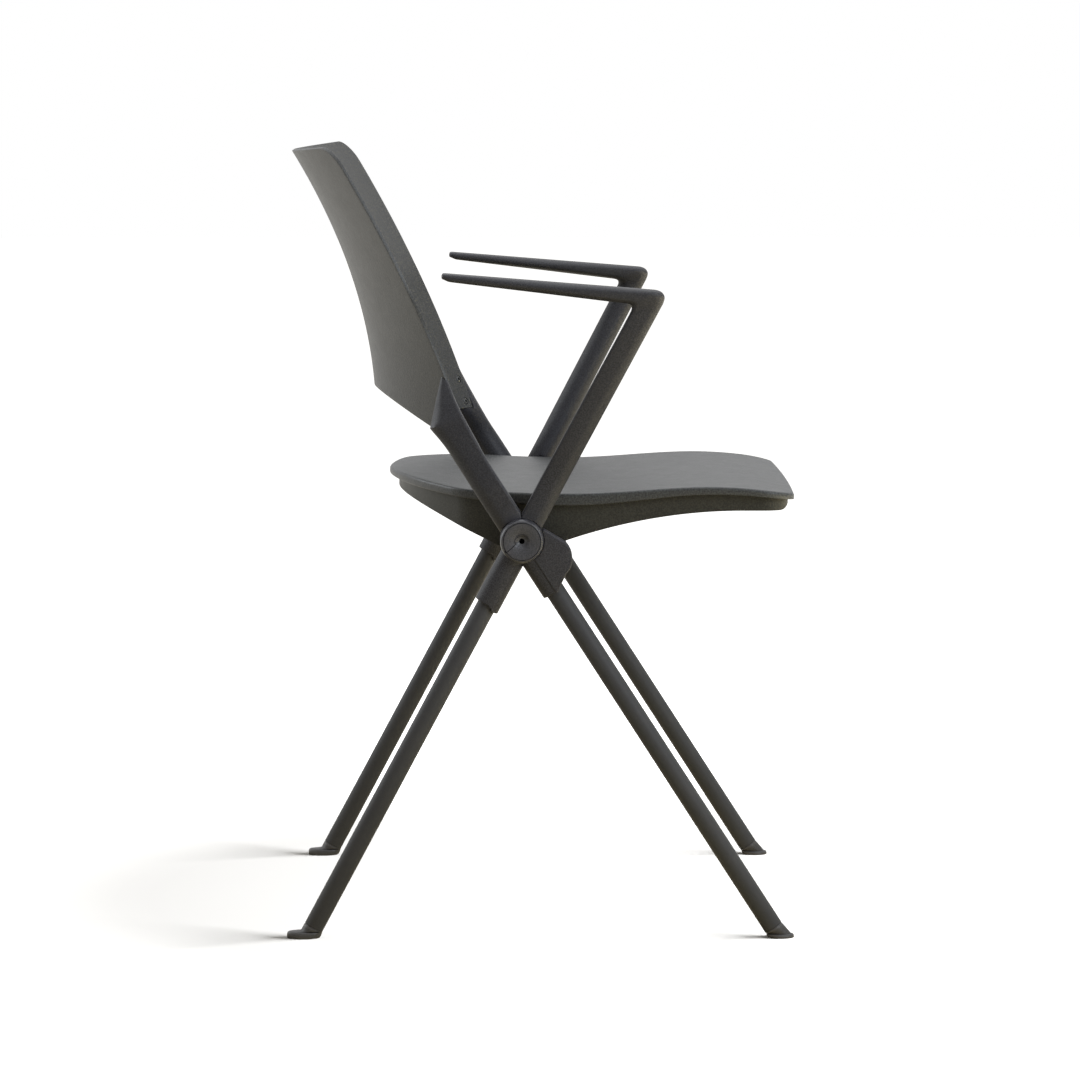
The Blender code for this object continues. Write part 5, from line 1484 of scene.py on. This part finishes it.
def screws():
    screw, back = sizes("screw"), sizes("back")
    button = (screw.head, screw.head_height, screw.shank, screw.key)
    bolt = (screw.bolt_head, screw.bolt_head_height, screw.bolt_shank, screw.bolt_key)
    for node in INWARD_SCREWS:
        low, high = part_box(node + "_left")
        middle = (low + high) / 2 - AXIS
        head = Vector((low.x + screw.head_height, middle.y, middle.z))
        bm = socket_screw(*button, high.x - head.x, along(-OUT, head))
        set_pair(new_object(node + "_turning", bm), "frame", "zinc_steel", node)
    low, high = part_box("hub_screw_left")
    head = OUT * (high.x - screw.bolt_head_height)
    bm = socket_screw(*bolt, head.x - low.x, along(OUT, head))
    set_pair(new_object("hub_bolt", bm), "frame", "zinc_steel", "hub_screw")
    for end in ("front", "rear"):
        low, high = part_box("seat_screw_" + end + "_left")
        middle = (low + high) / 2 - AXIS
        head = Vector((middle.x, middle.y, low.z - AXIS.z + screw.head_height))
        bm = socket_screw(*button, high.z - AXIS.z - head.z, along((0, 0, -1), head))
        set_pair(new_object("seat_screw_" + end + "_turning", bm), "seat", "zinc_steel", "seat_screw_" + end)
    for label, height in (("upper", screw.upper_height), ("lower", screw.lower_height)):
        head, out = back_screw_seat(back, screw, 1, height)
        bm = socket_screw(*button, back.skin + screw.reach - screw.back_sink, along(-out, head))
        obj = new_object("back_screw_" + label + "_turning", bm)
        set_pair(obj, "frame", "zinc_steel", "back_screw_" + label, "back_plastic")


# Stage

# Place, target, size, power and colour of the lights on the chair and of those on the floor
CHAIR_LIGHTS = {
    "overhead": ((0.3, -0.3, 3.4), (0.1, 0, 0.4), (5.0, 5.0), 125, (0.95, 0.975, 1.0)),
    "front_key": ((-2.4, -2.8, 2.0), (0, 0, 0.3), (1.8, 1.8), 84, (0.82, 0.90, 1.0)),
    "rear_fill": ((1.1, 3.2, 1.8), (0, 0, 0.4), (1.8, 1.8), 62, (0.92, 0.96, 1.0)),
}
FLOOR_LIGHTS = {
    "floor_key": ((-0.3, -3.0, 0.62), (0, 0, 0.1), (3.0, 1.0), 560, (1, 1, 1)),
    "floor_fill": ((0.3, 0.3, 3.4), (0.3, 0.3, 0), (5.0, 5.0), 30, (1, 1, 1)),
}
WHITE = (1, 1, 1, 1)
# Floor's tone to the camera, scale of the distance from its middle, and where on that scale it turns white
FLOOR_TONE = (0.96, 0.96, 0.96, 1)
FLOOR_SCALE = 0.1
FLOOR_WHITE = (0.045, 0.10)


def seen_directly(finish):
    """One for rays from the camera and for mirror and glass rays, and nought for others."""
    path = finish.tree.nodes.new("ShaderNodeLightPath")
    camera, glossy, through = (Signal(finish, path.outputs[name]) for name in
                               ("Is Camera Ray", "Is Glossy Ray", "Is Transmission Ray"))
    return camera.math("MAXIMUM", glossy).math("MAXIMUM", through)


def floor_material(shade):
    """A pale floor that shows white to the camera and keeps the shadows."""
    material, finish, shader = new_material("pale_floor")
    tree = finish.tree
    tree.nodes.remove(shader)
    cloud = finish.noise(1.5, 2.0)
    tone = finish.mix(cloud, tinted(shade, 0.99), tinted(shade, 1.01))
    seen = seen_directly(finish)
    camera = finish.node("ShaderNodeLightPath", output="Is Camera Ray")
    pale = finish.node("ShaderNodeBsdfDiffuse", None, {"Color": finish.mix(camera, tone, FLOOR_TONE)})
    place = finish.node("ShaderNodeTexCoord", output="Object")
    distance = finish.node("ShaderNodeVectorMath", {"operation": "LENGTH"}, {0: place}, "Value")
    strength = seen * finish.ramp(distance * FLOOR_SCALE, *FLOOR_WHITE)
    glow = finish.node("ShaderNodeEmission", None, {"Color": WHITE, "Strength": strength})
    both = finish.node("ShaderNodeAddShader", None, {0: pale, 1: glow})
    finish.put(tree.nodes["Material Output"].inputs["Surface"], both)
    return material


def linked(name, objects, state="INCLUDE"):
    """A group that a light is told to shine on, to be blocked by, or to leave out."""
    group = bpy.data.collections.new(name)
    for obj in objects:
        group.objects.link(obj)
    for item in group.collection_objects:
        item.light_linking.link_state = state
    return group


def soft_light(name, place, target, size, power, shade):
    """A rectangular light that the camera doesn't see; returns what it can be linked with."""
    light = bpy.data.lights.new(name, "AREA")
    light.shape = "RECTANGLE"
    light.size, light.size_y = size
    light.energy = power
    light.color = shade
    lamp = bpy.data.objects.new(name, light)
    lamp.location = place
    lamp.rotation_mode = "QUATERNION"
    lamp.rotation_quaternion = (Vector(target) - Vector(place)).to_track_quat("-Z", "Y")
    lamp.visible_camera = False
    bpy.context.scene.collection.objects.link(lamp)
    return lamp.light_linking


def studio_world(stage, shades):
    """A room that is white to the camera and lights the chair faintly."""
    world = bpy.data.worlds.new("studio")
    world.use_nodes = True
    sky = Finish(world.node_tree)
    seen = seen_directly(sky)
    background = world.node_tree.nodes["Background"]
    sky.put(background.inputs["Strength"], seen * (1 - stage.ambient) + stage.ambient)
    sky.put(background.inputs["Color"], sky.mix(seen, (*shades.shade, 1), WHITE))
    return world


def light_up(floor):
    """Lights for the chair that leave the floor out, and lights for the floor that only the feet shade."""
    off_floor = linked("off_the_floor", [floor], "EXCLUDE")
    for name, light in CHAIR_LIGHTS.items():
        soft_light(name, *light).receiver_collection = off_floor
    feet = [obj for obj in bpy.data.objects if "foot_glide" in obj.name]
    on_floor, blockers = linked("the_floor", [floor]), linked("shading_the_floor", feet)
    for name, light in FLOOR_LIGHTS.items():
        linking = soft_light(name, *light)
        linking.receiver_collection = on_floor
        linking.blocker_collection = blockers


def side_camera(stage):
    """A camera that looks at the chair from its right side."""
    lens = bpy.data.cameras.new("camera")
    lens.lens = stage.lens
    camera = bpy.data.objects.new("camera", lens)
    camera.location = (-stage.distance, AXIS.y + stage.along, stage.camera_height)
    level = math.cos(stage.dip)
    looking = Vector((level * math.cos(stage.swing), -level * math.sin(stage.swing), -math.sin(stage.dip)))
    camera.rotation_mode = "QUATERNION"
    camera.rotation_quaternion = looking.to_track_quat("-Z", "Y")
    bpy.context.scene.collection.objects.link(camera)
    return camera


def build_stage():
    stage, shades = sizes("stage"), sizes("finish")
    scene = bpy.context.scene
    scene.view_settings.view_transform = "Standard"
    bm = bmesh.new()
    bmesh.ops.create_grid(bm, x_segments=1, y_segments=1, size=stage.floor_size)
    floor = new_object("floor", bm)
    floor.data.materials.append(floor_material(shades.floor))
    scene.world = studio_world(stage, shades)
    light_up(floor)
    scene.camera = side_camera(stage)


# Operators and panel
class ARMCHAIR_OT_seat(bpy.types.Operator):
    """Mould the seat shell with its rolled rim"""
    bl_idname = "armchair.seat"
    bl_label = "Seat shell"
    bl_options = {"REGISTER", "UNDO"}

    def execute(self, context):
        seat_shell()
        return {"FINISHED"}


class ARMCHAIR_OT_pan(bpy.types.Operator):
    """Mould the pan under the seat"""
    bl_idname = "armchair.pan"
    bl_label = "Seat pan"
    bl_options = {"REGISTER", "UNDO"}

    def execute(self, context):
        seat_pan()
        return {"FINISHED"}


class ARMCHAIR_OT_back(bpy.types.Operator):
    """Mould the wrapped back shell"""
    bl_idname = "armchair.back"
    bl_label = "Back shell"
    bl_options = {"REGISTER", "UNDO"}

    def execute(self, context):
        back_shell()
        return {"FINISHED"}


class ARMCHAIR_OT_posts(bpy.types.Operator):
    """Mould the posts that carry the back"""
    bl_idname = "armchair.posts"
    bl_label = "Back posts"
    bl_options = {"REGISTER", "UNDO"}

    def execute(self, context):
        back_posts()
        return {"FINISHED"}


class ARMCHAIR_OT_arms(bpy.types.Operator):
    """Mould the uprights with their armrests"""
    bl_idname = "armchair.arms"
    bl_label = "Arms"
    bl_options = {"REGISTER", "UNDO"}

    def execute(self, context):
        arms()
        return {"FINISHED"}


class ARMCHAIR_OT_hubs(bpy.types.Operator):
    """Mould the hubs with their leg sockets"""
    bl_idname = "armchair.hubs"
    bl_label = "Hubs"
    bl_options = {"REGISTER", "UNDO"}

    def execute(self, context):
        hubs()
        return {"FINISHED"}


class ARMCHAIR_OT_caps(bpy.types.Operator):
    """Mould the caps over the hubs"""
    bl_idname = "armchair.caps"
    bl_label = "Hub caps"
    bl_options = {"REGISTER", "UNDO"}

    def execute(self, context):
        hub_caps()
        return {"FINISHED"}


class ARMCHAIR_OT_legs(bpy.types.Operator):
    """Turn the leg tubes"""
    bl_idname = "armchair.legs"
    bl_label = "Legs"
    bl_options = {"REGISTER", "UNDO"}

    def execute(self, context):
        legs()
        return {"FINISHED"}


class ARMCHAIR_OT_feet(bpy.types.Operator):
    """Mould the glides under the legs"""
    bl_idname = "armchair.feet"
    bl_label = "Foot glides"
    bl_options = {"REGISTER", "UNDO"}

    def execute(self, context):
        foot_glides()
        return {"FINISHED"}


class ARMCHAIR_OT_stops(bpy.types.Operator):
    """Mould the stop brackets and their buffers"""
    bl_idname = "armchair.stops"
    bl_label = "Seat stops"
    bl_options = {"REGISTER", "UNDO"}

    def execute(self, context):
        stop_brackets()
        stop_buffers()
        return {"FINISHED"}


class ARMCHAIR_OT_pivot(bpy.types.Operator):
    """Turn the bushes, the crossbar and its plugs"""
    bl_idname = "armchair.pivot"
    bl_label = "Pivot"
    bl_options = {"REGISTER", "UNDO"}

    def execute(self, context):
        pivot()
        return {"FINISHED"}


class ARMCHAIR_OT_screws(bpy.types.Operator):
    """Turn the screws and bolts"""
    bl_idname = "armchair.screws"
    bl_label = "Screws"
    bl_options = {"REGISTER", "UNDO"}

    def execute(self, context):
        screws()
        return {"FINISHED"}


class ARMCHAIR_OT_stage(bpy.types.Operator):
    """Set the floor, the lights and the camera"""
    bl_idname = "armchair.stage"
    bl_label = "Stage"
    bl_options = {"REGISTER", "UNDO"}

    def execute(self, context):
        build_stage()
        return {"FINISHED"}


OPERATORS = (ARMCHAIR_OT_seat, ARMCHAIR_OT_pan, ARMCHAIR_OT_back, ARMCHAIR_OT_posts,
             ARMCHAIR_OT_arms, ARMCHAIR_OT_hubs, ARMCHAIR_OT_caps, ARMCHAIR_OT_legs,
             ARMCHAIR_OT_feet, ARMCHAIR_OT_stops, ARMCHAIR_OT_pivot, ARMCHAIR_OT_screws,
             ARMCHAIR_OT_stage)


class ARMCHAIR_PT_pieces(bpy.types.Panel):
    """Lists the pieces of the armchair."""
    bl_label = "Armchair"
    bl_space_type = "VIEW_3D"
    bl_region_type = "UI"
    bl_category = "Armchair"

    def draw(self, context):
        column = self.layout.column(align=True)
        for made in OPERATORS:
            column.operator(made.bl_idname)


CLASSES = (*GROUPS.values(), *OPERATORS, ARMCHAIR_PT_pieces)


def register():
    for item in CLASSES:
        bpy.utils.register_class(item)
    for name, group in GROUPS.items():
        setattr(bpy.types.Scene, "armchair_" + name, PointerProperty(type=group))


def unregister():
    for name in GROUPS:
        delattr(bpy.types.Scene, "armchair_" + name)
    for item in reversed(CLASSES):
        bpy.utils.unregister_class(item)


def main():
    register()
    bpy.ops.armchair.seat()
    bpy.ops.armchair.pan()
    bpy.ops.armchair.back()
    bpy.ops.armchair.posts()
    bpy.ops.armchair.arms()
    bpy.ops.armchair.hubs()
    bpy.ops.armchair.caps()
    bpy.ops.armchair.legs()
    bpy.ops.armchair.feet()
    bpy.ops.armchair.stops()
    bpy.ops.armchair.pivot()
    bpy.ops.armchair.screws()
    bpy.ops.armchair.stage()


if __name__ == "__main__":
    main()
